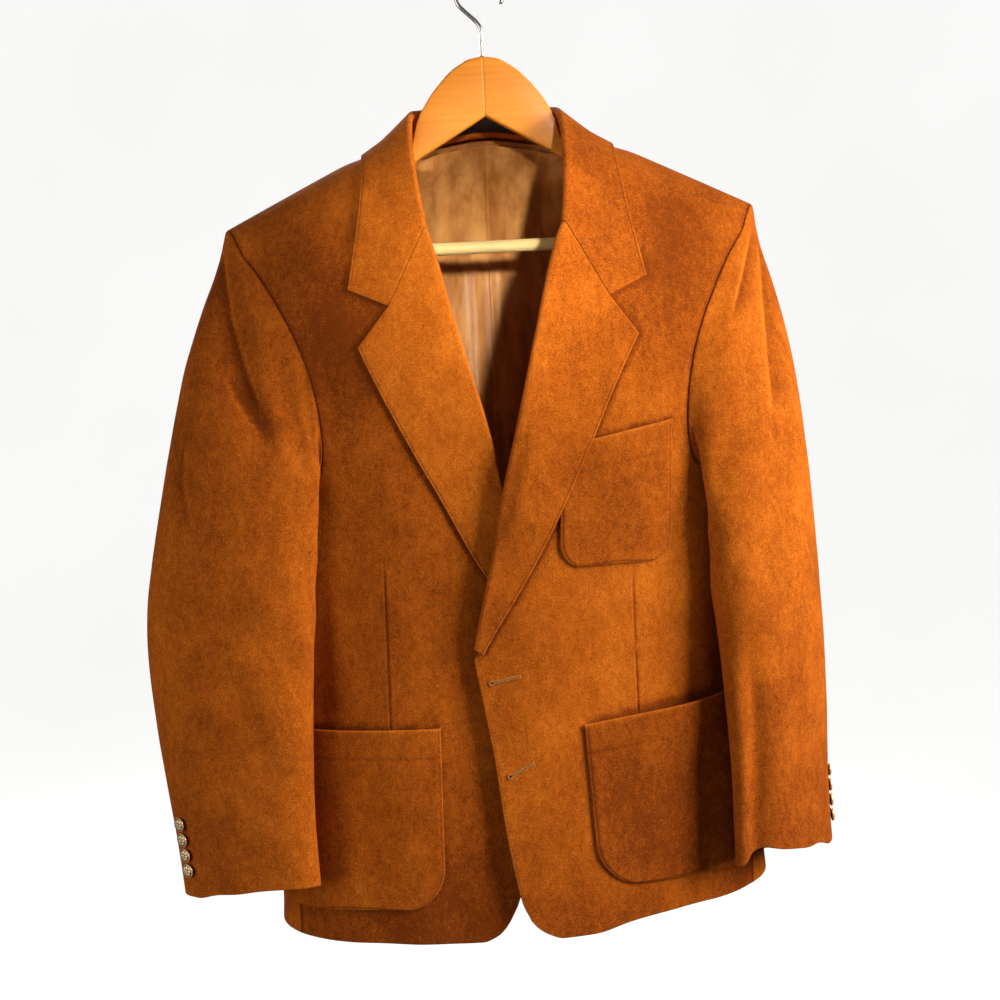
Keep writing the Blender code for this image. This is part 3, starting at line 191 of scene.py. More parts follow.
# Sleeves: a level section is an oval, its long axis turned from +X towards the back
Ring = namedtuple("Ring", "z x y half_long half_short turn")
SLEEVE_LEFT = table(
    Ring, (-520, 222, -66, 63, 41, 42), (-580, 226, -69, 65, 37, 44),
    (-640, 229.5, -71, 67, 34, 45), (-700, 231, -73, 66, 31, 45), (-750, 230, -75, 65, 29, 44),
    (-800, 231, -77, 67, 27, 43),
)
SLEEVE_RIGHT = table(
    Ring, (-520, 244, -71, 81, 44, 17), (-580, 249.5, -77, 82, 38, 18),
    (-640, 249.5, -81, 78, 34, 19), (-700, 248, -85, 73.5, 31, 20),
    (-750, 245.5, -87, 69.5, 28, 20), (-804, 242.5, -89, 68.5, 25, 20),
)
SLEEVE_TURN = 50  # degrees round the section from its back edge to the sleeve's crown line
UNDERARM_TURN = 28  # degrees more at the line under the arm
Crown = namedtuple("Crown", "fullness lift")
CROWN_LEFT = Crown(21, 53)
CROWN_RIGHT = Crown(30, 36)
UNDER_FULLNESS = 5
SLEEVE_CLEAR = 4.5  # gap kept between a sleeve and the body
POCKET_CLEAR = 9.0  # the same beside the lower pockets
SLEEVE_SHARES = (0, 0.022, 0.052, 0.09, 0.133, 0.175, 0.21, 0.24, 0.272, 0.315, 0.36, 0.4, 0.436, 0.468)
SLEEVE_EASE = 2  # passes that soften the sleeve's length
UNDERARM_EASE = 4.0  # how much further out the sleeve stands just under the armhole
SLEEVE_GIRTH = 370
SLEEVE_TURNS = np.array(SLEEVE_SHARES)
SLEEVE_TURNS = np.concatenate([SLEEVE_TURNS, [0.5], 1 - SLEEVE_TURNS[:0:-1]])
CuffHem = namedtuple("CuffHem", "turn rise")
CUFF_HEM_LEFT = table(
    CuffHem, (0, 2), (0.05, 8), (0.09, 9), (0.13, 12), (0.18, 16), (0.22, 19), (0.255, 12),
    (0.29, 5), (0.38, 2), (0.5, 1), (1, 2),
)
CUFF_HEM_RIGHT = table(
    CuffHem, (0, 1), (0.05, 6), (0.09, 8), (0.13, 11), (0.2, 13), (0.28, 13), (0.36, 9), (0.5, 1),
    (0.9, 0), (1, 1),
)
CUFF_TOP = -700  # where the slant of the cuff's hem begins to show
SleeveFold = namedtuple("SleeveFold", "turn_low z_low turn_high z_high width depth")
SLEEVE_FOLDS_LEFT = table(
    SleeveFold, (0.245, -960, 0.235, -560, 13, 9.0), (0.22, -560, 0.06, -420, 16, 4.0),
    (0.30, -660, 0.12, -590, 14, 3.0), (0.66, -640, 0.84, -540, 16, 4.0),
    (0.72, -470, 0.86, -330, 18, 4.0), (0.09, -400, 0.02, -260, 13, 3.5),
)
SLEEVE_FOLDS_RIGHT = table(
    SleeveFold, (0.17, -440, 0.02, -262, 14, 5.0), (0.25, -430, 0.15, -330, 13, 4.5),
    (0.30, -620, 0.04, -520, 16, 4.0), (0.22, -720, 0.02, -640, 15, 3.0),
    (0.66, -650, 0.84, -540, 16, 4.0), (0.72, -470, 0.86, -330, 18, 4.0),
)

# Buttons
CUFF_BUTTON_HEIGHTS = (-736, -750, -764, -778)
CUFF_BUTTON_RADIUS = 6.3
FRONT_BUTTON_RADIUS = 10
BUTTON_THICKNESS = 3.4
BUTTON_TURN_LEFT = -0.12  # of a turn round the sleeve from its crown line
BUTTON_TURN_RIGHT = -0.03
FRONT_BUTTON_HEIGHTS = (-620, -702)
FRONT_BUTTON_X = 1

# Hanger
Section = namedtuple("Section", "x top bottom depth y")
WOOD = table(
    Section, (0, -78, -130.6, 13, 0), (12, -80.0, -137.5, 13, 0), (22, -85.0, -143.2, 13, 0),
    (31, -91.5, -148.3, 13, 0), (39, -99.5, -152.9, 13, 0), (46, -107.5, -156.8, 13, 0),
    (52.5, -116.5, -160.5, 13, 0), (58, -126.0, -163.7, 13, 0), (62.5, -136.0, -166.3, 13, 0),
    (65.5, -150.0, -168.5, 13, 0), (80, -160.0, -176.0, 14, 0), (110, -168.0, -189.0, 16, 1),
    (150, -182.3, -206.0, 19, 1), (184.6, -199.1, -226.0, 22, 1), (185.6, -199.6, -256.0, 22, 1),
    (198, -206.3, -256.0, 22, 1), (211, -214.2, -241.0, 20, 1), (217, -220.2, -234.0, 15, 1),
)
WOOD_BEVEL = 2.6
BAR_RADIUS = 5.6
BAR_HALF = 184.2
BAR_Z = -246
BAR_Y = 1
WIRE_RADIUS = 1.8
HOOK_RADIUS = 22
HOOK_STEM_TOP = -54
HOOK_ROOT = -77.6
HOOK_END_TURN = -35  # degrees past the loop's side where the wire ends

# Lining and label
LINING_GAP = 5.0  # how far inside the backs the lining hangs
LINING_REACH = 0.6  # of the way from the centre seam to the sides
LINING_TOP = 0.997
LINING_DROP = 0.03  # how far it is cut down over the hanger's arms
LABEL_THICK = 0.8
LABEL_GAP = 0.4
LABEL_HALF = 38
LABEL_TOP = 0.68  # of the stand's height from its seam
LABEL_BOTTOM = 0.16


def smooth(keys, values, at):
    """Values at some keys of a smooth curve through a table, which never overshoots its points."""
    keys, values, at = (np.asarray(v, float) for v in (keys, values, at))
    if keys[0] > keys[-1]:
        keys, values = keys[::-1], values[::-1]
    step = np.diff(keys)
    rise = np.diff(values) / step
    slope = np.zeros_like(keys)
    slope[0], slope[-1] = rise[0], rise[-1]
    before, after = rise[:-1], rise[1:]
    same = before * after > 0
    total = np.where(same, before + after, 1)
    slope[1:-1] = np.where(same, 2 * before * after / total, 0)
    at = np.clip(at, keys[0], keys[-1])
    i = np.clip(np.searchsorted(keys, at, side="right") - 1, 0, len(step) - 1)
    t = (at - keys[i]) / step[i]
    start = (1 + 2 * t) * (1 - t) ** 2 * values[i] + t * (1 - t) ** 2 * step[i] * slope[i]
    end = t * t * (3 - 2 * t) * values[i + 1] + t * t * (t - 1) * step[i] * slope[i + 1]
    return start + end


def from_table(rows, key, value, at):
    return smooth([getattr(r, key) for r in rows], [getattr(r, value) for r in rows], at)


def fade(at, start, full):
    """0 before start, 1 past full, and a soft step between."""
    t = np.clip((np.asarray(at, float) - start) / (full - start), 0, 1)
    return t * t * (3 - 2 * t)


def bell(at, width):
    """1 at nought, falling away softly on both sides."""
    return np.exp(-((at / width) ** 2))


def unit(vectors):
    return vectors / np.linalg.norm(vectors, axis=-1, keepdims=True)


# The body's surface


def shoulder(x):
    """Height of the shoulder line."""
    drop = SHOULDER_SLOPE * (np.hypot(x, SHOULDER_ROUND) - SHOULDER_ROUND)
    return SHOULDER_TOP - drop + SHOULDER_PAD * fade(np.abs(x), PAD_START, PAD_FULL)


def run_of(x, z, reach):
    """Length over the cloth from the shoulder line down to a height."""
    drop = np.maximum(shoulder(x) - z, 0)
    turned = reach * np.arccos(np.clip(1 - drop / reach, 0, 1))
    return np.where(drop < reach, turned, reach * math.pi / 2 + drop - reach)


def height_at(x, run, reach):
    drop = np.where(
        run < reach * math.pi / 2,
        reach * (1 - np.cos(np.minimum(run / reach, math.pi / 2))),
        run - reach * (math.pi / 2 - 1),
    )
    return shoulder(x) - drop


def trough(x, z, folds):
    """How deep the large folds press the cloth in."""
    depth = np.zeros_like(np.asarray(x, float) + z)
    for f in folds:
        line = np.array([f.x_high - f.x_low, f.z_high - f.z_low], float)
        length = np.linalg.norm(line)
        along = ((x - f.x_low) * line[0] + (z - f.z_low) * line[1]) / length**2
        across = ((x - f.x_low) * line[1] - (z - f.z_low) * line[0]) / length
        window = fade(along, 0, 0.35) * fade(along, 1, 0.65)
        depth = depth + f.depth * window * bell(across, f.width)
    return depth


def oval_depth(x, z, face):
    half = from_table(GIRTHS, "z", "half_width", z)
    rest = np.clip(1 - (np.abs(x) / half) ** PLAN_POWER, 0, 1)
    return from_table(GIRTHS, "z", face, z) * rest ** (1 / PLAN_POWER)


def rounding(x, z, reach):
    drop = np.clip((shoulder(x) - z) / reach, 0, 1)
    return np.sqrt(1 - (1 - drop) ** 2)


def front_y(x, z, side):
    """Outer face of a front: +1 is the wearer's left one, which laps over the right one."""
    lap = LAP_DEPTH / 2 * bell(x, LAP_WIDTH) * fade(z, LAP_TOP, LAP_FULL)
    folds = trough(x, z, FOLDS_LEFT if side > 0 else FOLDS_RIGHT)
    inset = folds * fade(np.abs(x), SIDE_SEAM_X, SIDE_SEAM_X - 30)
    return -oval_depth(x, z, "front") * rounding(x, z, FRONT_REACH) - side * lap + inset


def back_y(x, z, side):
    folds = trough(x, z, FOLDS_BACK_LEFT if side > 0 else FOLDS_BACK_RIGHT)
    inset = folds * fade(np.abs(x), SIDE_SEAM_X, SIDE_SEAM_X - 30) * fade(np.abs(x), 0, 25)
    return oval_depth(x, z, "back") * rounding(x, z, BACK_REACH) - inset


def over_cloth(x, run, side):
    """Outer point at a length from the shoulder line, down the front (+) or the back (-)."""
    x, run = np.broadcast_arrays(np.asarray(x, float), np.asarray(run, float))
    z = np.where(
        run > 0, height_at(x, run, FRONT_REACH), height_at(x, -run, BACK_REACH)
    )
    y = np.where(run > 0, front_y(x, z, side), back_y(x, z, side))
    return np.stack([x, y, z], axis=-1)


def round_body(length, z, side):
    """Outer points at heights and lengths round the section, from the centre front."""
    length, z = np.broadcast_arrays(np.asarray(length, float), np.asarray(z, float))
    shape, length, z = length.shape, length.ravel(), z.ravel()
    turn = np.linspace(0, math.pi, 181)
    half, front, back = (from_table(GIRTHS, "z", k, z)[:, None] for k in GIRTHS[0]._fields[1:])
    xs = half * np.abs(np.sin(turn)) ** (2 / PLAN_POWER)
    ys = np.where(turn < math.pi / 2, -front, back) * np.abs(np.cos(turn)) ** (2 / PLAN_POWER)
    steps = np.hypot(np.diff(xs, axis=1), np.diff(ys, axis=1))
    total = np.concatenate([np.zeros((len(z), 1)), np.cumsum(steps, axis=1)], axis=1)
    i = np.clip((total < length[:, None]).sum(axis=1) - 1, 0, len(turn) - 2)
    n = np.arange(len(z))
    t = (length - total[n, i]) / (total[n, i + 1] - total[n, i])
    x = xs[n, i] + (xs[n, i + 1] - xs[n, i]) * t
    y = ys[n, i] + (ys[n, i + 1] - ys[n, i]) * t
    y = np.where((y < 0) & (x < SIDE_SEAM_X), front_y(x, z, side), y)
    return np.stack([x, y, z], axis=-1).reshape(shape + (3,))


def grid_normals(grid, wrap=False):
    """Unit normals at the points of a grid, from their neighbours."""
    up = np.gradient(grid, axis=0)
    if wrap:
        across = np.roll(grid, -1, axis=1) - np.roll(grid, 1, axis=1)
    else:
        across = np.gradient(grid, axis=1)
    return unit(np.cross(across, up))


def edge_points(edge, rows):
    """Points of a table as x and length from the shoulder line."""
    x = np.array([p.x for p in rows], float)
    z = np.array([p.z for p in rows], float)
    return x, run_of(x, z, edge)


def blend(left, right, low, high, across, v):
    """Points inside four edge curves that meet at their corners."""
    a, b = across[..., None], v[..., None]
    corners = (1 - a) * (1 - b) * low[0] + a * (1 - b) * low[2] + (1 - a) * b * high[0]
    corners = corners + a * b * high[2]
    return (1 - a) * left + a * right + (1 - b) * low[1] + b * high[1] - corners


def hem_of(side):
    return HEM_LEFT if side > 0 else HEM_RIGHT


def side_curve(armhole, reach, side):
    """The line of a front's or a back's side from its hem up the armhole, x over length."""
    x, run = edge_points(reach, armhole)
    hem_run = run_of(SIDE_SEAM_X, hem_of(side)[-1].z, reach)
    xs = np.concatenate([[SIDE_SEAM_X], x, [SHOULDER_POINT_X]])
    return np.concatenate([[hem_run], run, [0]]), xs


def front_surface(side):
    """The outer face of a front, u from its edge to its side, v from its hem to the shoulder."""
    edge = EDGE_LEFT if side > 0 else EDGE_RIGHT
    roll = ROLL_LEFT if side > 0 else ROLL_RIGHT
    inset = [LAPEL_FOOT_CUT] if side > 0 else [LAPEL_FOOT_CUT._replace(x=LAPEL_FOOT_CUT.x + 9)]
    inset += [Point(p.x + LAPEL_ROOT, p.z) for p in roll[1:-1]]
    x, run = edge_points(FRONT_REACH, list(edge) + inset)
    left_x = np.concatenate([x, [s.x + NECK_EASE for s in NECK_SEAM[:6]]])
    left_run = np.concatenate([run, [s.run for s in NECK_SEAM[:6]]])
    right_run, right_x = side_curve(FRONT_ARMHOLE, FRONT_REACH, side)
    hem_run = right_run[0]
    hem = hem_of(side)

    def surface(u, v):
        left_at, right_at = left_run[0] * (1 - v), hem_run * (1 - v)
        left = np.stack([smooth(left_run, left_x, left_at), left_at], -1)
        right = np.stack([smooth(right_run, right_x, right_at), right_at], -1)
        x = hem[0].x + (SIDE_SEAM_X - hem[0].x) * u
        z = from_table(hem, "x", "z", x)
        low = np.stack([x, run_of(x, z, FRONT_REACH)], -1)
        x = NECK_POINT_X + (SHOULDER_POINT_X - NECK_POINT_X) * u
        high = np.stack([x, np.zeros_like(x)], -1)
        low_ends = np.array([[left_x[0], left_run[0]], [SIDE_SEAM_X, hem_run]])
        high_ends = np.array([[NECK_POINT_X, 0.0], [SHOULDER_POINT_X, 0.0]])
        flat = blend(
            left,
            right,
            (low_ends[0], low, low_ends[1]),
            (high_ends[0], high, high_ends[1]),
            u,
            v,
        )
        return over_cloth(flat[..., 0], np.maximum(flat[..., 1], 1e-4), side)

    return surface, hem_run


def back_surface(side):
    """The outer face of a back, u from the centre seam to the side, v from hem to shoulder."""
    right_run, right_x = side_curve(BACK_ARMHOLE, BACK_REACH, side)
    hem_run = right_run[0]
    side_z = hem_of(side)[-1].z
    centre_run = float(run_of(0, BACK_HEM, BACK_REACH))
    neck = NECK_SEAM[5:]
    neck_run = -neck[-1].run

    def surface(u, v):
        left_at = centre_run + (neck_run - centre_run) * v
        left = np.stack([np.zeros_like(v), left_at], -1)
        right_at = hem_run * (1 - v)
        right = np.stack([smooth(right_run, right_x, right_at), right_at], -1)
        x = SIDE_SEAM_X * u
        z = BACK_HEM + (side_z - BACK_HEM) * (x / SIDE_SEAM_X) ** 2
        low = np.stack([x, run_of(x, z, BACK_REACH)], -1)
        x = SHOULDER_POINT_X * u
        seam = np.where(x < NECK_POINT_X, -from_table(neck, "x", "run", x), 0)
        high = np.stack([x, seam], -1)
        flat = blend(
            left,
            right,
            (np.array([0, centre_run]), low, np.array([SIDE_SEAM_X, hem_run])),
            (np.array([0, neck_run]), high, np.array([SHOULDER_POINT_X, 0.0])),
            u,
            v,
        )
        return over_cloth(flat[..., 0], -np.maximum(flat[..., 1], 1e-4), side)

    return surface, hem_run


def side_surface(side):
    """The outer face under the arm, u from the front seam round to the back seam."""
    hem = hem_of(side)[-1].z + SIDE_RISE

    def surface(u, v):
        z = hem + (UNDERARM_Z - hem) * v
        z = z - 2 * (1 - v) * (2 * u - 1) ** 2
        half = from_table(GIRTHS, "z", "half_width", z)
        reach = np.arccos((SIDE_SEAM_X / half) ** (PLAN_POWER / 2))
        turn = reach * (1 - 2 * u)
        x = half * np.cos(turn) ** (2 / PLAN_POWER)
        depth = np.where(
            turn > 0, -from_table(GIRTHS, "z", "front", z), from_table(GIRTHS, "z", "back", z)
        )
        y = depth * np.abs(np.sin(turn)) ** (2 / PLAN_POWER)
        return np.stack([x, y, z], -1)

    return surface


def cloth_normal(x, run, side):
    """Outward normal of the body's cloth."""
    e = 0.5
    across = over_cloth(x + e, run, side) - over_cloth(x - e, run, side)
    down = over_cloth(x, run + e, side) - over_cloth(x, run - e, side)
    return unit(np.cross(down, across))


def outside_body(points, clear):
    """Move points sideways until they are clear of the body's section at their height."""
    x, y, z = points[..., 0], points[..., 1], points[..., 2]
    half = from_table(GIRTHS, "z", "half_width", z) + clear
    front = from_table(GIRTHS, "z", "front", z) + clear
    back = from_table(GIRTHS, "z", "back", z) + clear
    depth = np.where(y < 0, front, back)
    level = (np.abs(x / half) ** PLAN_POWER + np.abs(y / depth) ** PLAN_POWER) ** (1 / PLAN_POWER)
    push = np.where((level < 1) & (z < UNDERARM_Z + 14), 1 / np.maximum(level, 0.2), 1)
    return points * np.stack([push, push, np.ones_like(push)], -1)


def section_normal(point):
    """Level outward normal of the body's section through a point."""
    x, y, z = point
    half = float(from_table(GIRTHS, "z", "half_width", z))
    depth = float(from_table(GIRTHS, "z", "front" if y < 0 else "back", z))
    steep = PLAN_POWER - 1
    across = abs(x / half) ** steep / half * np.sign(x)
    deep = abs(y / depth) ** steep / depth * np.sign(y)
    return unit(np.array([across, deep, 0.0]))


def armhole_loop(side):
    """Closed curve of the armhole from the shoulder down the front and up the back."""
    runs, xs = side_curve(FRONT_ARMHOLE, FRONT_REACH, side)
    down = np.linspace(0, runs[1], 40)
    front = over_cloth(smooth(runs, xs, down), np.maximum(down, 1e-4), side)
    across = np.linspace(0.1, 0.9, 9)
    under = side_surface(side)(across, np.ones_like(across))
    runs, xs = side_curve(BACK_ARMHOLE, BACK_REACH, side)
    up = np.linspace(runs[1], 1e-4, 40)
    back = over_cloth(smooth(runs, xs, up), -up, side)
    points = np.concatenate([front, under, back])
    closed = np.vstack([points, points[:1]])
    length = np.concatenate([[0], np.cumsum(np.linalg.norm(np.diff(closed, axis=0), axis=1))])
    middle = len(front) + len(under) / 2
    half_way = np.interp(middle, np.arange(len(closed)), length)
    share = np.where(
        length < half_way,
        0.5 * length / half_way,
        0.5 + 0.5 * (length - half_way) / (length[-1] - half_way),
    )

    def at(s):
        s = np.mod(s, 1)
        return np.stack([np.interp(s, share, closed[:, k]) for k in range(3)], -1)

    return at


def armhole_frame(side, s):
    """Points of the armhole, the body's normals there and the directions out into the sleeve."""
    loop = armhole_loop(side)
    seam = loop(s)
    along = unit(loop(s + 0.01) - loop(s - 0.01))
    normal = np.empty_like(seam)
    for i, p in enumerate(seam):
        if p[2] < UNDERARM_Z + 30:
            normal[i] = section_normal(p)
            continue
        run = run_of(p[0], p[2], FRONT_REACH) if p[1] < 0 else -run_of(p[0], p[2], BACK_REACH)
        normal[i] = cloth_normal(p[0], run if abs(run) > 1 else 1.0, side)
    return seam, normal, unit(np.cross(normal, along))


def sleeve_ring(rows, z, s):
    """Points of the sleeve's level section at a height."""
    column = {k: from_table(rows, "z", k, z) for k in Ring._fields[1:]}
    angle = np.radians(SLEEVE_TURN + UNDERARM_TURN * np.sin(math.pi * s) ** 2) + 2 * math.pi * s
    turn = np.radians(column["turn"])
    along = column["half_long"] * np.cos(angle)
    across = column["half_short"] * np.sin(angle)
    x = column["x"] + along * np.cos(turn) + across * np.sin(turn)
    y = column["y"] + along * np.sin(turn) - across * np.cos(turn)
    return np.stack([x, y, z + np.zeros_like(x)], -1)


def sleeve_folds(grid, s, normals, folds):
    """Press the sleeve's soft folds into its points."""
    z = grid[..., 2]
    depth = np.zeros_like(z)
    for f in folds:
        line = np.array([(f.turn_high - f.turn_low) * SLEEVE_GIRTH, f.z_high - f.z_low])
        length = np.linalg.norm(line)
        away = (np.mod(s - f.turn_low + 0.5, 1) - 0.5) * SLEEVE_GIRTH
        along = (away * line[0] + (z - f.z_low) * line[1]) / length**2
        across = (away * line[1] - (z - f.z_low) * line[0]) / length
        window = fade(along, 0, 0.3) * fade(along, 1, 0.7)
        depth = depth + f.depth * window * bell(across, f.width)
    return grid - normals * depth[..., None]


def sleeve_clearance(z):
    """Gap between a sleeve and the body: more beside the pockets and under the armhole."""
    clear = SLEEVE_CLEAR + (POCKET_CLEAR - SLEEVE_CLEAR) * fade(z, -560, -640)
    return clear + UNDERARM_EASE * fade(z, -520, -490)


def sleeve_grids(side):
    """Outer and inner points of a sleeve, from the armhole down to the cuff."""
    rows = SLEEVE_LEFT if side > 0 else SLEEVE_RIGHT
    folds = SLEEVE_FOLDS_LEFT if side > 0 else SLEEVE_FOLDS_RIGHT
    s = SLEEVE_TURNS
    seam, normal, opening = armhole_frame(side, s)
    beta = math.pi * (1 - np.cos(2 * math.pi * s)) / 2
    inwards = -np.cos(beta)[:, None] * normal + np.sin(beta)[:, None] * opening
    under = (np.sin(math.pi * s) ** 5)[:, None]
    first = seam + opening * SEAM + normal * SLEEVE_CLEAR * under

    ring = sleeve_ring(rows, rows[0].z, s)
    outwards = unit(ring - ring.mean(axis=0))
    crown = CROWN_LEFT if side > 0 else CROWN_RIGHT
    fullness = UNDER_FULLNESS + (crown.fullness - UNDER_FULLNESS) * (1 + np.cos(2 * math.pi * s)) / 2
    lift = crown.lift * np.maximum(np.cos(2 * math.pi * s), 0)
    control = (first + ring) / 2 + outwards * fullness[:, None] + np.outer(lift, [0, 0, 1])
    layers = []
    for t in np.linspace(0, 1, 9)[:-1]:
        layers.append((1 - t) ** 2 * first + 2 * t * (1 - t) * control + t * t * ring)
    for z in np.linspace(rows[0].z, rows[-1].z, 10):
        layers.append(sleeve_ring(rows, z, s))
    grid = np.array(layers)
    for _ in range(SLEEVE_EASE):
        grid[1:-1] = (grid[:-2] + 2 * grid[1:-1] + grid[2:]) / 4
        grid[1:] = (np.roll(grid, 1, axis=1) + 2 * grid + np.roll(grid, -1, axis=1))[1:] / 4
    normals = grid_normals(grid, wrap=True)
    grid[1:] = sleeve_folds(grid, s[None, :], normals, folds)[1:]
    rise = from_table(CUFF_HEM_LEFT if side > 0 else CUFF_HEM_RIGHT, "turn", "rise", s)
    grid[..., 2] += rise * fade(grid[..., 2], CUFF_TOP, rows[-1].z)
    grid[1:] = outside_body(grid, sleeve_clearance(grid[..., 2]))[1:]
    normals = grid_normals(grid, wrap=True)
    inner = grid - normals * CLOTH
    inner[0] = grid[0] + inwards * CLOTH
    return grid, inner


# Collar and lapels, in close sections


LEAF_STEPS = np.array(
    [0.02, 0.05, 0.09, 0.14, 0.2, 0.26, 0.32, 0.38, 0.44, 0.49, 0.54, 0.58, 0.605, NOTCH_REACH]
    + [0.635, 0.66, 0.7, 0.74, 0.78, 0.82, 0.855, 0.885, 0.91, 0.93, 0.945, 0.955, 0.963]
    + [0.97, 0.976, 0.982, 0.988, 0.993, 0.997, 1.0]
)
ARC_DEGREES = np.linspace(-90, 90, 13)
STAND_STEPS = np.linspace(0, 1, 9)[:-1]
LEAF_START = len(STAND_STEPS) + len(ARC_DEGREES)
NOTCH_KEYS = (0, 1 / 13, 2 / 13, 3 / 13)


def folded_section(seat, fold, bend, edge, along, radius):
    """Outer points of one section, from its seat over the fold to its outer edge."""
    away = unit(fold - (seat + edge) / 2)
    out = unit(np.cross(along, away))
    centre = fold - away * radius
    start = centre - out * radius
    stand = [seat + (start - seat) * t for t in STAND_STEPS]
    arc = [
        centre + radius * (away * math.cos(a) + out * math.sin(a)) for a in np.radians(ARC_DEGREES)
    ]
    leaf = []
    for t in LEAF_STEPS:
        if t < NOTCH_REACH:
            leaf.append(arc[-1] + (bend - arc[-1]) * t / NOTCH_REACH)
        else:
            leaf.append(bend + (edge - bend) * (t - NOTCH_REACH) / (1 - NOTCH_REACH))
    return np.array(stand + arc + leaf)


def over_pocket(z, side):
    """How much the left lapel rises over the breast pocket's inner edge."""
    if side < 0:
        return 0 * z
    return LAPEL_OVER_POCKET * fade(z, POCKET_BREAST.bottom + 12, -478) * fade(z, -388, -416)


def lay_on_cloth(points, side, lift_at_fold):
    """Move a leaf's points forward until they lie on the front."""
    x, y, z = points[..., 0], points[..., 1], points[..., 2]
    below = shoulder(x) - z
    lift = lift_at_fold * (1 - LEAF_STEPS) ** 2
    gap = LAY + CLOTH + lift + over_pocket(z, side) * fade(LEAF_STEPS, 0, 0.3)
    limit = front_y(x, np.minimum(z, shoulder(x) - 0.1), side) - gap
    free = (below < 12) | (y > 0)
    points[..., 1] = np.where(free, y, np.minimum(y, limit))
    return points


def lapel_grid(side, gorge, count=110):
    """Sections of a lapel, from its foot at the top button up to the collar's end section."""
    roll = ROLL_LEFT if side > 0 else ROLL_RIGHT
    outer = LAPEL_LEFT if side > 0 else LAPEL_RIGHT
    steps = np.linspace(0, 1, len(roll))
    grid = []
    shares = LAPEL_FOOT + (1 - LAPEL_FOOT) * near_ends(count, 0.005)
    for t in shares:
        def at(rows, t=t):
            x = float(smooth(steps, [p.x for p in rows], t))
            z = float(smooth(steps, [p.z for p in rows], t))
            return np.array([x, z])

        a, b = at(roll), at(outer)
        ahead, behind = at(roll, min(t + 0.01, 1)), at(roll, max(t - 0.01, 0))
        width = np.linalg.norm(b - a)
        radius = FOLD_RADIUS * min(1, 0.45 + width / 60)
        fold = np.array([a[0], front_y(a[0], a[1], side) - (radius - CLOTH), a[1]])
        run = float(run_of(b[0], b[1], FRONT_REACH))
        edge = np.array([b[0], front_y(b[0], b[1], side), b[1]])
        edge = edge + cloth_normal(b[0], run, side) * (LAY + CLOTH)
        root = a[0] + max(radius, min(LAPEL_SEAT, radius * 1.6))
        seat = np.array([root, front_y(root, a[1], side) + CLOTH, a[1]])
        y_ahead, y_behind = (front_y(p[0], p[1], side) for p in (ahead, behind))
        along = unit(np.array([ahead[0] - behind[0], y_ahead - y_behind, ahead[1] - behind[1]]))
        bend = fold + (edge - fold) * NOTCH_REACH
        points = folded_section(seat, fold, bend, edge, along, radius)
        lift = 2 * radius - 2 * CLOTH - LAY
        points[LEAF_START:] = lay_on_cloth(points[LEAF_START:], side, lift)
        grid.append(points)
    grid = np.array(grid)
    top = gorge.copy()
    tip = grid[-1][-1]
    past = LEAF_STEPS > NOTCH_REACH
    t = ((LEAF_STEPS[past] - NOTCH_REACH) / (1 - NOTCH_REACH))[:, None]
    corner = top[LEAF_START:][LEAF_STEPS == NOTCH_REACH]
    top[LEAF_START:][past] = corner + (tip - corner) * t
    top[LEAF_START:] = lay_on_cloth(top[LEAF_START:], side, 0.6)
    change = top + np.array([0, 0, -GORGE_GAP]) - grid[-1]
    keep = np.interp(1 - shares, [k * (1 - LAPEL_FOOT) for k in NOTCH_KEYS], NOTCH_FADE + (0,))
    return grid + change[None] * keep[:, None, None]


def collar_half(side, count=84):
    """Sections of half the collar, from the gorge seam to the centre back."""
    rolls = COLLAR_ROLL_LEFT if side > 0 else COLLAR_ROLL_RIGHT
    steps = np.linspace(0, 1, len(NECK_SEAM))
    grid = []

    def along_table(rows, t, lifted=False):
        x = float(smooth(steps, [r.x for r in rows], t))
        run = float(smooth(steps, [r.run for r in rows], t))
        point = over_cloth(x, run, side)
        if lifted:
            point = point + np.array([0, 0, float(smooth(steps, [r.lift for r in rows], t))])
        return x, run, point

    notch = np.array([NOTCH.x, front_y(NOTCH.x, NOTCH.z, side) - LAY - CLOTH, NOTCH.z])
    for t in near_ends(count, 0.006, (1, 0)):
        stand = fade(t, 0.1, 0.6)
        x, run, seat = along_table(NECK_SEAM, t)
        normal = cloth_normal(x, run, side)
        ahead = along_table(NECK_SEAM, min(t + 0.01, 1))[2]
        behind = along_table(NECK_SEAM, max(t - 0.01, 0))[2]
        inwards = unit(np.cross(unit(ahead - behind), normal))
        level = ROOT_LEVEL + (STAND_LEVEL - ROOT_LEVEL) * stand
        seat = seat - inwards * (SEAM + (CLOTH + 1.0) * stand) + normal * level
        x, run, fold = along_table(rolls, t, lifted=True)
        fold = fold + cloth_normal(x, run, side) * (FOLD_RADIUS - CLOTH) * (1 - stand)
        ahead = along_table(rolls, min(t + 0.01, 1), True)[2]
        behind = along_table(rolls, max(t - 0.01, 0), True)[2]
        along = unit(ahead - behind) if t < 1 else np.array([-1.0, 0, 0])
        x, run, edge = along_table(COLLAR_EDGE, t)
        edge = edge + cloth_normal(x, run, side) * (LAY + CLOTH)
        bend = fold + (edge - fold) * NOTCH_REACH
        if t == 0:
            first_bend = notch - bend
        bend = bend + first_bend * np.interp(t, NOTCH_KEYS, NOTCH_FADE + (0,))
        points = folded_section(seat, fold, bend, edge, along, FOLD_RADIUS)
        lift = (2 * FOLD_RADIUS - 2 * CLOTH - LAY) * (1 - stand)
        points[LEAF_START:] = lay_on_cloth(points[LEAF_START:], side, lift)
        grid.append(points)
    return np.array(grid)


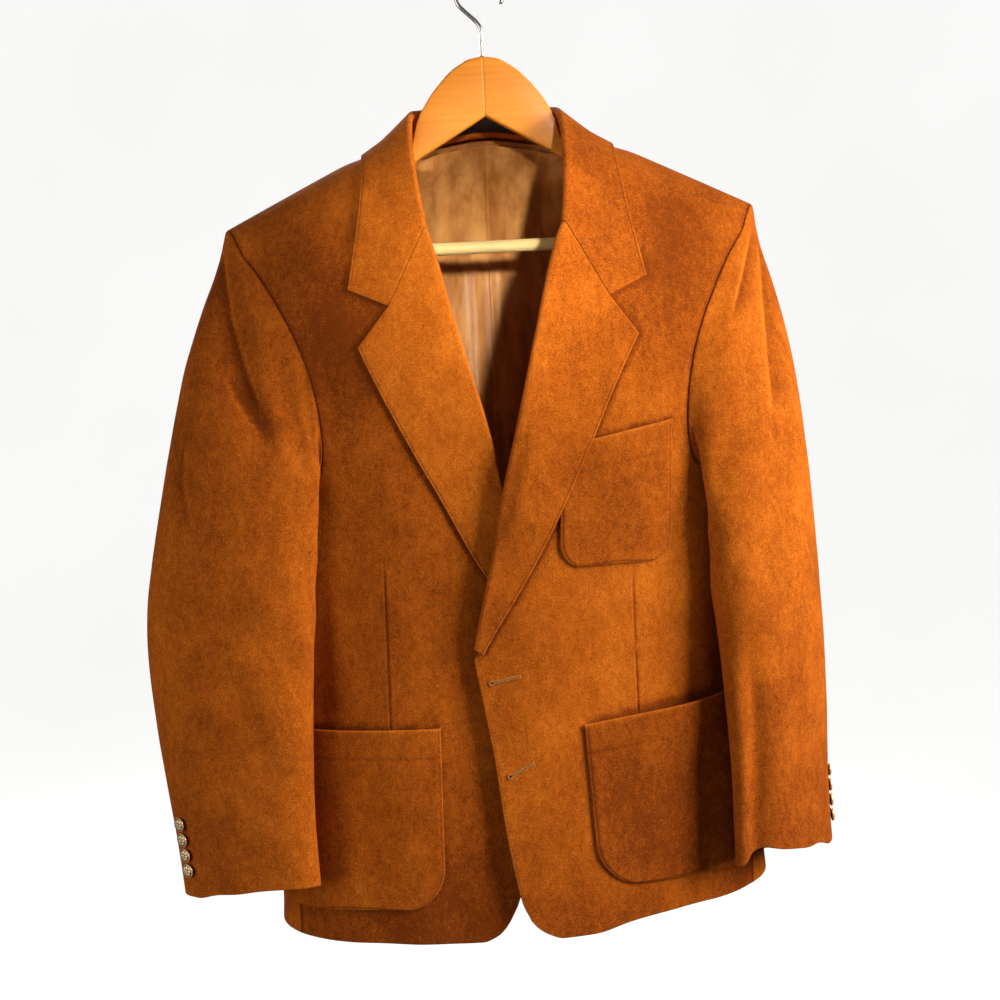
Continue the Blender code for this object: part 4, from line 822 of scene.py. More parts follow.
def pocket_surface(patch, side):
    """The outer face of a patch pocket, u from its inner to its outer edge, v from its mouth down."""

    def surface(u, v):
        top = patch.top_inner + (patch.top_outer - patch.top_inner) * u
        height = top - patch.bottom
        down = height * v
        curve = np.maximum(down - (height - patch.corner), 0) / patch.corner
        trim = patch.corner * (1 - np.sqrt(np.maximum(1 - curve**2, 0)))
        length = patch.inner + trim + (patch.width - 2 * trim) * u + patch.lean * (v - 0.5)
        base = round_body(length, top - down, side)
        ahead = round_body(length + 0.5, top - down, side)
        above = round_body(length, top - down + 0.5, side)
        normal = unit(np.cross(ahead - base, above - base))
        open_mouth = patch.gape * np.sin(math.pi * np.clip(u * 1.02, 0, 1)) ** 2
        open_mouth = open_mouth * (0.4 + 0.9 * u) * (1 - fade(v, 0, 0.55))
        return base + normal * (POCKET_LAY + CLOTH + open_mouth)[..., None]

    return surface


# Close grids, cloth shells and small threads


def near_ends(count, reach, ends=(1, 1), marks=(), mark_width=0.01):
    """Even shares from 0 to 1, closer together near the ends and near some marks."""
    close = reach * np.array([0.04, 0.1, 0.18, 0.28, 0.4, 0.55, 0.75])
    parts = [np.linspace(0, 1, count), close * ends[0], 1 - close * ends[1]]
    parts += [m + mark_width * np.linspace(-1, 1, 15) for m in marks]
    shares = np.unique(np.round(np.concatenate(parts), 5))
    return shares


def noise(points, size, seed):
    """Soft noise from -1 to 1 with cells of a size, the same on every run."""
    p = points / size + seed * 17.17
    cell = np.floor(p).astype(np.int64)
    f = p - cell
    f = f * f * (3 - 2 * f)
    total = 0
    for corner in np.ndindex(2, 2, 2):
        c = cell + np.array(corner)
        mixed = (c[..., 0] * 374761393 + c[..., 1] * 668265263 + c[..., 2] * 1274126177) & 0xFFFFFFFF
        mixed = ((mixed ^ (mixed >> 13)) * 1103515245) & 0xFFFFFFFF
        value = ((mixed ^ (mixed >> 16)) & 0xFFFF) / 32767.5 - 1
        weight = np.prod(np.where(np.array(corner) == 1, f, 1 - f), axis=-1)
        total = total + value * weight
    return total


def spline_matrix(count, shares, wrap):
    """Weights that give a smooth curve through evenly numbered points, at some shares."""
    size = count if wrap else count + 2
    solve = np.zeros((size, size))
    for i in range(count):
        for k, w in ((-1, 1 / 6), (0, 2 / 3), (1, 1 / 6)):
            solve[i, (i + k) % count if wrap else i + k + 1] += w
    if not wrap:
        solve[count, :3] = (1, -2, 1)
        solve[count + 1, -3:] = (1, -2, 1)
    controls = np.linalg.inv(solve)[:, :count]
    at = shares * (count if wrap else count - 1)
    i = np.floor(at).astype(int)
    if not wrap:
        i = np.clip(i, 0, count - 2)
    t = (at - i)[:, None]
    before, after = 3 * t**3 - 6 * t**2 + 4, -3 * t**3 + 3 * t**2 + 3 * t + 1
    basis = np.hstack([(1 - t) ** 3, before, after, t**3]) / 6
    weights = np.zeros((len(at), size))
    for k in range(4):
        column = (i + k - 1) % count if wrap else i + k
        weights[np.arange(len(at)), column] += basis[:, k]
    return weights @ controls


def edge_lengths(grid):
    """Lengths over a grid from its first and last column and its first and last row."""
    across = np.linalg.norm(np.diff(grid, axis=1), axis=-1)
    left = np.pad(np.cumsum(across, axis=1), ((0, 0), (1, 0)))
    up = np.linalg.norm(np.diff(grid, axis=0), axis=-1)
    low = np.pad(np.cumsum(up, axis=0), ((1, 0), (0, 0)))
    return left, left[:, -1:] - left, low, low[-1:] - low


def rolled(length, radius):
    """How far a rolled edge falls away at a length from its rim."""
    near = np.clip(radius - length, 0, radius)
    return radius - np.sqrt(np.maximum(radius**2 - near**2, 0)) if radius else 0 * length


def linked(name, data):
    """An object of some data, put into the scene."""
    obj = bpy.data.objects.new(name, data)
    bpy.context.collection.objects.link(obj)
    return obj


def ring_quads(rows, columns):
    """Numbers of a closed grid's points, of their neighbours and of its quadrilaterals' corners."""
    index = np.arange(rows * columns).reshape(rows, columns)
    beside = np.roll(index, -1, axis=1)
    return index, beside, np.stack([index[:-1], beside[:-1], beside[1:], index[1:]], -1)


def add_mesh(name, points, faces, materials, slots=None, side=1):
    """A mesh object from points in millimetres, with its faces turned outwards."""
    points = np.asarray(points, float).reshape(-1, 3) * np.array([side, 1, 1]) * MM
    faces = [list(f) for f in faces]
    corners = np.array([(f[0], f[i], f[i + 1]) for f in faces for i in range(1, len(f) - 1)])
    a, b, c = (points[corners[:, k]] for k in range(3))
    if (a * np.cross(b, c)).sum() < 0:
        faces = [f[::-1] for f in faces]
    mesh = bpy.data.meshes.new(name)
    mesh.from_pydata(points.tolist(), [], faces)
    for material in materials:
        mesh.materials.append(material)
    if slots is not None:
        mesh.polygons.foreach_set("material_index", np.asarray(slots, np.int32))
    mesh.shade_smooth()
    mesh.update()
    obj = linked(name, mesh)
    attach(obj, "root")
    return obj


Rim = namedtuple("Rim", "outer inner wear")
TURNED = Rim(1.25, 1.1, 0.15)  # a turned and pressed edge, rounded on both faces, a little lighter at its rim
SEWN = Rim(1.3, 0.0, -0.6)  # a seam: the outer face rolls down into it, with painted shade in it
# a pocket's mouth: its rolled lip gets a painted highlight
MOUTH = Rim(1.35, 1.0, 0.6)
PLAIN = Rim(0.0, 0.0, 0.0)
RIM_TONE_REACH = 2.2


def shell(name, outer, into, materials, rims, thickness=CLOTH, side=1, wrap=False, inside=0, tint=0):
    """A closed cloth shell. into points from the outer face to the inner one. rims are those of
    the first and last column and row; inside is the material slot of the inner face. tint says
    how much darker (-) or lighter (+) the cloth is painted: turned edges are lighter at the rim,
    a pocket's mouth has a painted highlight on its lip and seams hold painted shade."""
    lengths = edge_lengths(outer)
    if wrap:
        lengths = (None, None) + lengths[2:]
    fall, rise = np.zeros(outer.shape[:2]), np.zeros(outer.shape[:2])
    for length, rim in zip(lengths, rims):
        if length is not None:
            fall = np.maximum(fall, rolled(length, rim.outer))
            rise = np.maximum(rise, rolled(length, rim.inner))
            # painted shade in seams, a painted highlight on a pocket's mouth, a lighter rim on turned
            # edges
            wear_and_rim_tone = rim.wear * bell(length, RIM_TONE_REACH)
            tint = tint + wear_and_rim_tone
    face = outer + into * fall[..., None]
    back = outer + into * (thickness - rise)[..., None]
    rows, columns = outer.shape[:2]
    last = columns if wrap else columns - 1
    index = np.arange(rows * columns).reshape(rows, columns)
    here, beside = index[:, :last], np.roll(index, -1, axis=1)[:, :last]
    quads = np.stack([here[:-1], beside[:-1], beside[1:], here[1:]], -1).reshape(-1, 4)
    inside = np.broadcast_to(inside, (rows, columns))[:-1, :last]
    faces = [quads, quads[:, ::-1] + rows * columns]
    slots = [np.zeros(len(quads)), inside.ravel()]
    borders = [index[0], index[-1][::-1]]
    if wrap:
        borders = [np.append(b, b[0]) for b in borders]
    else:
        borders += [index[::-1, 0], index[:, -1]]
    for line in borders:
        under = line + rows * columns
        faces.append(np.stack([line[1:], line[:-1], under[:-1], under[1:]], -1))
        slots.append(np.zeros(len(line) - 1))
    points = np.concatenate([face.reshape(-1, 3), back.reshape(-1, 3)])
    faces = np.concatenate(faces).tolist()
    obj = add_mesh(name, points, faces, materials, np.concatenate(slots), side)
    tints = np.broadcast_to(tint, (rows, columns)).ravel()
    data = obj.data.attributes.new("tint", "FLOAT", "POINT")
    data.data.foreach_set("value", np.tile(0.5 + 0.5 * np.clip(tints, -1, 1), 2))
    return obj


def cloth(node, outer, into, rims, side, inside, tint, wrap=False):
    """The shell of a suede piece, with satin where its inner face is lined."""
    name = node + "_cloth"
    return shell(
        name, outer, into, CLOTHS, rims, side=side, wrap=wrap, inside=inside, tint=tint
    )


def resample(line, normals, pitch, skip=0.0):
    """Evenly spaced points along a line, with their normals and directions."""
    length = np.append(0, np.cumsum(np.linalg.norm(np.diff(line, axis=0), axis=1)))
    count = max(int((length[-1] - 2 * skip) / pitch), 1)
    at = skip + (length[-1] - 2 * skip) * (np.arange(count) + 0.5) / count

    def pick(values, s):
        return np.stack([np.interp(s, length, values[:, k]) for k in range(3)], -1)

    ahead = pick(line, np.minimum(at + pitch * 0.4, length[-1]))
    behind = pick(line, np.maximum(at - pitch * 0.4, 0))
    return pick(line, at), unit(pick(normals, at)), unit(ahead - behind)


def inset(line, normals, towards, distance):
    """A line on the cloth moved sideways towards a point, by a distance."""
    along = unit(np.gradient(line, axis=0))
    sideways = unit(np.cross(normals, along))
    sign = np.sign((sideways * (towards - line)).sum(-1).mean())
    return line + sideways * sign * distance


STITCH_SIDES = 6


def stitch_row(line, normals, pitch=3.4, length=2.2, radius=0.24, sink=0.15, skip=3.0, turn=0.0):
    """Points and faces of a row of small raised thread stitches."""
    centres, ups, along = resample(line, normals, pitch, skip)
    across = unit(np.cross(ups, along))
    if turn:
        first, second = along, across
        along = first * math.cos(turn) + second * math.sin(turn)
        across = second * math.cos(turn) - first * math.sin(turn)
    profile = np.array([(-0.5, 0.0, -0.6), (-0.42, 0.6, -0.25), (-0.2, 1.0, 0.15), (0, 1.05, 0.25)])
    profile = np.concatenate([profile, (profile * MIRROR)[-2::-1]])
    points, faces = [], []
    rings = profile[1:-1]
    angle = 2 * math.pi * np.arange(STITCH_SIDES) / STITCH_SIDES
    for share, wide, high in rings:
        ring = centres[:, None] + (along * share * length)[:, None]
        ring = ring + ups[:, None] * (radius * (high + wide * np.sin(angle)) - sink)[None, :, None]
        ring = ring + across[:, None] * (radius * wide * np.cos(angle))[None, :, None]
        points.append(ring)
    tips = [
        (centres + along * share * length + ups * (radius * high - sink))[:, None]
        for share, _, high in (profile[0], profile[-1])
    ]
    block = np.concatenate(points + tips, axis=1)
    size = block.shape[1]
    k = np.arange(STITCH_SIDES)
    j = (k + 1) % STITCH_SIDES
    one = []
    for r in range(len(rings) - 1):
        low, high = r * STITCH_SIDES, (r + 1) * STITCH_SIDES
        one += np.stack([low + k, low + j, high + j, high + k], -1).tolist()
    one += [[size - 2, b, a] for a, b in zip(k, j)]
    top = (len(rings) - 1) * STITCH_SIDES
    one += [[size - 1, top + a, top + b] for a, b in zip(k, j)]
    faces = [[v + n * size for v in f] for n in range(len(block)) for f in one]
    return block.reshape(-1, 3), faces


class Threads:
    """Gathers rows of stitches into one mesh."""

    def __init__(self):
        self.points, self.faces, self.count = [], [], 0

    def add(self, row, side=1):
        points, faces = row
        self.points.append(points * np.array([side, 1, 1]))
        order = 1 if side > 0 else -1
        self.faces += [[v + self.count for v in f][::order] for f in faces]
        self.count += len(points)

    def make(self, name, material):
        return add_mesh(name, np.concatenate(self.points), self.faces, [material])


def tube(path, radius, sides):
    """Points and faces of a round tube along a path, its frame carried along without twist."""
    path = np.asarray(path, float)
    along = unit(np.gradient(path, axis=0))
    first = np.cross(along[0], [0, 1, 0.01])
    frames = []
    for direction in along:
        first = unit(first - direction * (first @ direction))
        frames.append((first, np.cross(direction, first)))
    radius = np.broadcast_to(radius, len(path))
    angle = 2 * math.pi * np.arange(sides) / sides
    points = [
        p + r * (np.outer(np.cos(angle), a) + np.outer(np.sin(angle), b))
        for p, r, (a, b) in zip(path, radius, frames)
    ]
    index, _, quads = ring_quads(len(path), sides)
    faces = quads.reshape(-1, 4).tolist()
    faces += [index[0, ::-1].tolist(), index[-1].tolist()]
    return np.concatenate(points), faces


# Materials


class Nodes:
    """Short calls for building a material's node tree."""

    def __init__(self, name, colour):
        self.material = bpy.data.materials.new(name)
        self.material.use_nodes = True
        self.material.diffuse_color = (*colour, 1.0)
        self.tree = self.material.node_tree
        self.shader = self.tree.nodes["Principled BSDF"]
        self.shader.inputs["Base Color"].default_value = (*colour, 1.0)

    def add(self, kind, inputs=None, **settings):
        node = self.tree.nodes.new("ShaderNode" + kind)
        for key, value in settings.items():
            setattr(node, key, value)
        for key, value in (inputs or {}).items():
            if isinstance(value, bpy.types.NodeSocket):
                self.tree.links.new(value, node.inputs[key])
            else:
                node.inputs[key].default_value = value
        return node

    def set(self, **values):
        for key, value in values.items():
            socket = self.shader.inputs[key.replace("_", " ")]
            if isinstance(value, bpy.types.NodeSocket):
                self.tree.links.new(value, socket)
            else:
                socket.default_value = value

    def place(self, scale=(1, 1, 1), turn=(0, 0, 0)):
        where = self.add("TexCoord").outputs["Object"]
        return self.add("Mapping", {"Vector": where, "Scale": scale, "Rotation": turn}).outputs[0]

    def noise(self, scale, detail=3.0, roughness=0.55, vector=None):
        vector = vector or self.place()
        inputs = {"Vector": vector, "Scale": scale, "Detail": detail, "Roughness": roughness}
        return self.add("TexNoise", inputs).outputs["Fac"]

    def math(self, operation, *values, clamp=False):
        return self.add(
            "Math", dict(enumerate(values)), operation=operation, use_clamp=clamp
        ).outputs[0]

    def total(self, *terms):
        """Sum of weight x value over some (value, weight) terms."""
        result = None
        for value, weight in terms:
            part = self.math("MULTIPLY", value, weight)
            result = part if result is None else self.math("ADD", result, part)
        return result

    def ramp(self, value, *stops):
        node = self.add("ValToRGB", {"Fac": value})
        ramp = node.color_ramp
        while len(ramp.elements) < len(stops):
            ramp.elements.new(0.5)
        for element, (position, colour) in zip(ramp.elements, stops):
            element.position = position
            element.color = (*colour, 1.0) if len(colour) == 3 else colour
        return node.outputs["Color"]

    def bump(self, height, strength, distance):
        inputs = {"Height": height, "Strength": strength, "Distance": distance}
        return self.add("Bump", inputs).outputs[0]


def suede(name, dark, middle, light, sheen=0.06):
    """Faux suede, brushed: faint cloudy tone, short nap lying in small patches, fine speckle."""
    n = Nodes(name, middle)
    cloud = n.noise(6.5, 3.0, 0.55)
    patch = n.noise(42, 3.0, 0.6, n.place((1, 1, 0.6)))
    nap = n.noise(170, 2.0, 0.6, n.place((1.2, 1.2, 0.75)))
    grain = n.noise(760, 2.0, 0.7)
    fuzz = n.noise(1700, 1.0, 0.6)
    # tint brings each piece's painted light and shade, and its random mottle, into the colour
    tint = n.add("Attribute", attribute_name="tint").outputs["Fac"]
    tone = n.total((cloud, 0.12), (patch, 0.19), (nap, 0.2), (grain, 0.42), (fuzz, 0.26))
    tone = n.math("SUBTRACT", tone, 0.095)
    tone = n.math("ADD", tone, n.math("MULTIPLY_ADD", tint, 0.34, -0.17))
    colour = n.ramp(tone, (0.34, dark), (0.5, middle), (0.68, light))
    height = n.total((nap, 0.4), (grain, 0.8), (fuzz, 0.6))
    n.set(
        Base_Color=colour,
        Roughness=0.95,
        Specular_IOR_Level=0.1,
        Sheen_Weight=sheen,
        Sheen_Roughness=0.45,
        Sheen_Tint=(1.0, 0.5, 0.16, 1.0),
        Normal=n.bump(height, 0.6, 0.0008),
    )
    return n.material


def satin(name):
    """Lining satin: fine diagonal weave; long streaks of painted light and shade stand for its folds,
    and its gloss varies softly along them.
    """
    n = Nodes(name, (0.5, 0.235, 0.07))
    weave = n.add(
        "TexWave",
        {"Vector": n.place(turn=(0, 0.6, 0)), "Scale": 420.0, "Distortion": 1.5, "Detail": 1.0},
        bands_direction="X",
    ).outputs["Fac"]
    fold_streaks = n.noise(26, 4.0, 0.55, n.place((2.2, 2.2, 0.5)))
    # painted fold light and shade: the colour goes dark and light along the streaks
    colour = n.ramp(
        n.total((fold_streaks, 0.8), (weave, 0.2)),
        (0.36, (0.36, 0.12, 0.022)),
        (0.5, (0.6, 0.24, 0.052)),
        (0.64, (0.8, 0.38, 0.105)),
    )
    rough = n.math("MULTIPLY_ADD", fold_streaks, 0.2, 0.26)
    n.set(
        Base_Color=colour,
        Roughness=rough,
        Anisotropic=0.5,
        Specular_IOR_Level=0.35,
        Normal=n.bump(n.total((weave, 0.25), (fold_streaks, 0.75)), 0.35, 0.0012),
    )
    return n.material


def woven_label(name):
    """Plain black woven ribbon."""
    n = Nodes(name, (0.012, 0.01, 0.009))
    ribs = n.add(
        "TexWave", {"Vector": n.place(), "Scale": 900.0, "Distortion": 0.4}, bands_direction="Z"
    ).outputs["Fac"]
    picks = n.add(
        "TexWave", {"Vector": n.place(), "Scale": 700.0, "Distortion": 0.4}, bands_direction="X"
    ).outputs["Fac"]
    dust = n.noise(120, 3.0)
    mixed = n.total((ribs, 0.3), (picks, 0.3), (dust, 0.4))
    colour = n.ramp(mixed, (0.2, (0.006, 0.005, 0.005)), (0.8, (0.035, 0.028, 0.024)))
    n.set(
        Base_Color=colour,
        Roughness=0.62,
        Specular_IOR_Level=0.15,
        Normal=n.bump(n.total((ribs, 0.5), (picks, 0.5)), 0.6, 0.0003),
    )
    return n.material


def varnished_wood(name, dark, middle, light):
    """Honey-coloured wood: faint long grain along the arms, fine pores, a clear varnish coat."""
    n = Nodes(name, middle)
    along = n.place((1, 6.0, 6.0))
    wobble = n.noise(4.2, 3.0, 0.5, along)
    rings = n.add(
        "TexWave",
        {"Vector": along, "Scale": 9.0, "Distortion": 3.4, "Detail": 3.0, "Detail Scale": 1.4},
        bands_direction="Z",
    ).outputs["Fac"]
    pores = n.noise(190, 3.0, 0.7, n.place((0.08, 1.4, 1.4)))
    tone = n.total((rings, 0.06), (wobble, 0.5), (pores, 0.44))
    colour = n.ramp(tone, (0.2, dark), (0.5, middle), (0.8, light))
    n.set(
        Base_Color=colour,
        Roughness=n.math("MULTIPLY_ADD", pores, 0.2, 0.4),
        Specular_IOR_Level=0.25,
        Coat_Weight=0.12,
        Coat_Roughness=0.25,
        Normal=n.bump(pores, 0.1, 0.0006),
    )
    return n.material


def polished_steel(name):
    n = Nodes(name, (0.62, 0.6, 0.58))
    streak = n.noise(700, 3.0, 0.6, n.place((1, 1, 0.15)))
    colour = n.ramp(streak, (0.3, (0.5, 0.48, 0.46)), (0.7, (0.7, 0.68, 0.66)))
    n.set(
        Base_Color=colour,
        Metallic=1.0,
        Roughness=n.math("MULTIPLY_ADD", streak, 0.16, 0.14),
        Normal=n.bump(streak, 0.08, 0.0002),
    )
    return n.material


def antique_brass(name):
    """Brass darkened in its recesses, rubbed bright on what stands proud."""
    n = Nodes(name, (0.55, 0.38, 0.2))
    relief = n.add("Attribute", attribute_name="relief").outputs["Fac"]
    tarnish = n.noise(420, 4.0, 0.65)
    wear_and_rim_tone = n.total((relief, 0.8), (tarnish, 0.35))
    colour = n.ramp(
        wear_and_rim_tone,
        (0.22, (0.028, 0.013, 0.006)),
        (0.48, (0.5, 0.3, 0.13)),
        (0.72, (0.85, 0.63, 0.36)),
        (0.95, (0.95, 0.8, 0.55)),
    )
    n.set(
        Base_Color=colour,
        Metallic=0.6,
        Roughness=n.math("MULTIPLY_ADD", wear_and_rim_tone, -0.25, 0.55),
        Normal=n.bump(tarnish, 0.25, 0.0003),
    )
    return n.material


def thread(name, dark, light):
    """Twisted sewing thread."""
    n = Nodes(name, light)
    twist = n.add(
        "TexWave",
        {"Vector": n.place(turn=(0.5, 0.6, 0.4)), "Scale": 1100.0, "Distortion": 1.0},
        bands_direction="DIAGONAL",
    ).outputs["Fac"]
    tone = n.noise(160, 2.0)
    colour = n.ramp(n.total((twist, 0.5), (tone, 0.5)), (0.25, dark), (0.75, light))
    n.set(Base_Color=colour, Roughness=0.8, Specular_IOR_Level=0.2, Normal=n.bump(twist, 0.5, 0.0002))
    return n.material


SUEDE = suede("suede", (0.165, 0.03, 0.0014), (0.37, 0.081, 0.004), (0.63, 0.17, 0.012))
SATIN_CLOTH = satin("satin")
LABEL_CLOTH = woven_label("label")
WOOD_VARNISHED = varnished_wood("wood", (0.6, 0.185, 0.013), (0.74, 0.25, 0.019), (0.82, 0.32, 0.032))
BAR_WOOD = varnished_wood("pale_wood", (0.9, 0.56, 0.16), (0.99, 0.72, 0.28), (1.0, 0.8, 0.38))
STEEL = polished_steel("steel")
BRASS = antique_brass("brass")
SEWING = thread("sewing_thread", (0.09, 0.018, 0.0012), (0.24, 0.055, 0.004))
PURL = thread("buttonhole_thread", (0.3, 0.09, 0.013), (0.62, 0.26, 0.06))
CLOTHS = [SUEDE, SATIN_CLOTH]
threads = Threads()


# Body panels


def soft(points, seed, depth=(0.9, 0.45)):
    """How far the cloth gives way in soft, wide waves, from 0 to the sum of the depths."""
    wide, near = noise(points, 78, seed), noise(points, 27, seed + 3)
    return depth[0] * (wide + 1) / 2 + depth[1] * (near + 1) / 2


Crease = namedtuple("Crease", "x_low z_low x_high z_high width depth")
CREASES = {
    "front_left": table(
        Crease, (186, -700, 172, -500, 9, 1.6), (130, -960, 138, -780, 13, 1.4),
        (176, -430, 140, -352, 9, 1.2), (84, -250, 128, -205, 12, 1.0),
    ),
    "front_right": table(
        Crease, (176, -690, 166, -520, 9, 1.6), (60, -900, 66, -760, 12, 1.2),
        (172, -420, 140, -340, 10, 1.6), (150, -520, 100, -470, 14, 1.2),
        (88, -250, 128, -208, 12, 1.0),
    ),
    "back_left": table(
        Crease, (30, -900, 24, -640, 13, 1.6), (104, -900, 92, -640, 12, 1.8),
        (170, -820, 160, -600, 12, 1.6), (172, -420, 132, -360, 12, 1.8),
        (40, -200, 96, -176, 14, 1.2),
    ),
    "back_right": table(
        Crease, (28, -920, 32, -660, 12, 1.4), (112, -900, 106, -620, 13, 1.8),
        (180, -800, 170, -640, 11, 1.6), (168, -430, 128, -372, 12, 1.8),
        (36, -204, 92, -178, 14, 1.2),
    ),
}
# Painted shade (-) and painted light (+), in soft patches over each piece, x towards the piece's own
# side
LightPatch = namedtuple("LightPatch", "x z wide high tone")
PAINTED_LIGHT_PATCHES = {
    "front_left": table(
        LightPatch, (150, -270, 50, 80, -0.85), (155, -560, 40, 130, 0.4), (202, -640, 26, 190, -2.0),
        (90, -870, 130, 60, -0.5), (60, -560, 60, 120, 0.15),
    ),
    "front_right": table(
        LightPatch, (140, -320, 60, 95, -1.0), (130, -190, 60, 40, 0.35), (90, -870, 140, 100, -1.0),
        (100, -560, 70, 120, -0.25), (10, -600, 22, 160, -0.5),
    ),
    "lapel_left": (LightPatch(20, -330, 60, 200, -0.1),),
    "lapel_right": (LightPatch(40, -330, 120, 400, 0.35),),
    "collar": table(LightPatch, (100, -200, 60, 120, -0.4), (-100, -200, 60, 120, 0.15)),
    "pocket_left": (LightPatch(140, -740, 120, 120, -0.85),),
    "pocket_right": (LightPatch(150, -740, 120, 120, -0.12),),
    "pocket_breast": (LightPatch(90, -490, 80, 60, -0.3),),
    "sleeve_left": table(LightPatch, (225, -830, 60, 130, -0.75), (262, -330, 40, 160, 0.3)),
    "sleeve_right": table(LightPatch, (230, -420, 80, 200, -0.2), (300, -560, 22, 240, 0.1)),
}


def mottle_and_painted_light(name, points):
    """How much darker or lighter a piece is painted: a faint random mottle in small marks, plus the
    soft patches of painted light and shade.
    """
    x, z = points[..., 0], points[..., 2]
    tone = 0.14 * noise(points, 46, 61) + 0.1 * noise(points, 19, 62)
    for b in PAINTED_LIGHT_PATCHES.get(name, ()):
        # each patch is painted light (+) or painted shade (-)
        tone = tone + b.tone * np.exp(-(((x - b.x) / b.wide) ** 2) - ((z - b.z) / b.high) ** 2)
    return tone


Dart = namedtuple("Dart", "x_low z_low x_high z_high")
DARTS = {"front_left": Dart(104, -668, 104, -528), "front_right": Dart(114, -668, 111, -510)}


def groove(distance, width, depth):
    """A sewn line pressed in, with the cloth rising softly beside it."""
    near = bell(distance, width)
    beside = bell(np.abs(distance) - 2.6 * width, 1.5 * width)
    return depth * near - 0.22 * depth * beside


def behind_mouth(points, patch, side):
    """How near the cloth is to the open mouth of a pocket on it, from 0 to 1 just above it."""
    u = np.linspace(0, 1, 60)
    mouth = pocket_surface(patch, side)(u, 0 * u)
    x, above = points[..., 0], points[..., 2] - np.interp(points[..., 0], mouth[:, 0], mouth[:, 2])
    share = np.clip((x - mouth[0, 0]) / (mouth[-1, 0] - mouth[0, 0]), 0, 1)
    reach = 1.6 + patch.gape * 0.55 * np.sin(math.pi * share**1.3)
    inside = fade(x, mouth[0, 0] - 1, mouth[0, 0] + 6) * fade(x, mouth[-1, 0] + 1, mouth[-1, 0] - 3)
    return inside * bell(np.maximum(above, 0), reach) * fade(above, -25, -8)


def dart_marks(surface, dart, hem_run):
    """Where across a panel its dart is sewn, low and high."""
    shares = np.linspace(0, 1, 300)
    places = []
    for x, z in ((dart.x_low, dart.z_low), (dart.x_high, dart.z_high)):
        level = 1 - float(run_of(x, z, FRONT_REACH)) / hem_run
        across = surface(shares, 0 * shares + level)[:, 0]
        places.append(float(shares[np.argmin(np.abs(across - x))]))
    return tuple(sorted(set(np.round(places, 3))))


def lapel_shadow(points, side):
    """How much painted shadow falls on the cloth beside the edges of the lapel and the collar that lie
    on it.
    """
    collar = collar_half(side)
    lapel = lapel_grid(side, collar[0])
    edges = np.concatenate([lapel[:, -1], lapel[-1, 14:], collar[0, 14:], collar[:12, -1]])
    gaps = points[..., None, [0, 2]] - edges[:, [0, 2]]
    away = np.sqrt((gaps**2).sum(-1).min(-1))
    return bell(away, 3.2) * fade(points[..., 1], 0, -8)


FRONT_GRID = (84, 150)  # even columns and rows of a panel that shows
BACK_GRID = (62, 116)
EDGE_SPAN = 3.6  # how far in from a panel's edges its rows are close, mm
DART_SPAN = 7
MOUTH_SPAN = 13
CALM_REACH = 16  # how far in from the seams the cloth lies calm
PANEL_WIDTHS = {1: 240, -1: 205}


def panel_cloth(name, surface, sign, hem_run, side, marks=(), pockets=()):
    """A body panel in close rows, with its creases, dart and soft waves, and its tone."""
    width = PANEL_WIDTHS[sign]
    if name in DARTS:
        marks = tuple(marks) + dart_marks(surface, DARTS[name], hem_run)
    columns, rows = FRONT_GRID if sign > 0 else BACK_GRID
    us = near_ends(columns, EDGE_SPAN / width, marks=marks, mark_width=DART_SPAN / width)
    heights = [(p.top_inner + p.top_outer) / 2 for p in pockets]
    levels = [1 - float(run_of(120.0, z, FRONT_REACH)) / hem_run for z in heights]
    vs = near_ends(rows, EDGE_SPAN / hem_run, marks=levels, mark_width=MOUTH_SPAN / hem_run)
    u, v = np.meshgrid(us, vs)
    points = surface(u, v)
    into = -sign * grid_normals(points)
    depth = soft(points, len(name) + side)
    if name in CREASES:
        depth = depth + trough(points[..., 0], points[..., 2], CREASES[name])
    lengths = edge_lengths(points)
    calm = np.prod([fade(d, 0, CALM_REACH) for d in lengths], axis=0)
    depth = depth * (0.15 + 0.85 * calm)
    if name in DARTS:
        dart = DARTS[name]
        line_x = np.interp(points[..., 2], (dart.z_low, dart.z_high), (dart.x_low, dart.x_high))
        sewn = fade(points[..., 2], dart.z_high + 4, dart.z_high - 26)
        sewn = sewn * fade(points[..., 2], dart.z_low - 110, dart.z_low - 70)
        off_dart = points[..., 0] - line_x
        depth = depth + groove(off_dart, 0.9, 0.8) * sewn
    # painted light and shade in soft patches, over a random mottle
    tint = mottle_and_painted_light(name, points)
    if sign > 0:
        # painted shadow along the edges of the lapel and the collar
        tint = tint - 1.2 * lapel_shadow(points, side)
    if name in DARTS:
        # painted shade along the dart's sewn groove
        tint = tint - 0.75 * bell(off_dart, 0.9) * sewn
    for patch in pockets:
        near = behind_mouth(points, patch, side)
        depth = depth + 0.16 * patch.gape * near
        # painted shade in the open mouth of the pocket, above its lip
        tint = tint - 1.5 * near
    points = points + into * depth[..., None]
    into = -sign * grid_normals(points)
    return points, into, (u, v), tint


def facing_slots(u, v, edge_share, hem_share):
    """Inner face: suede facing along the front edge and the hem, satin elsewhere."""
    return np.where((u < edge_share) | (v < hem_share), 0, 1)


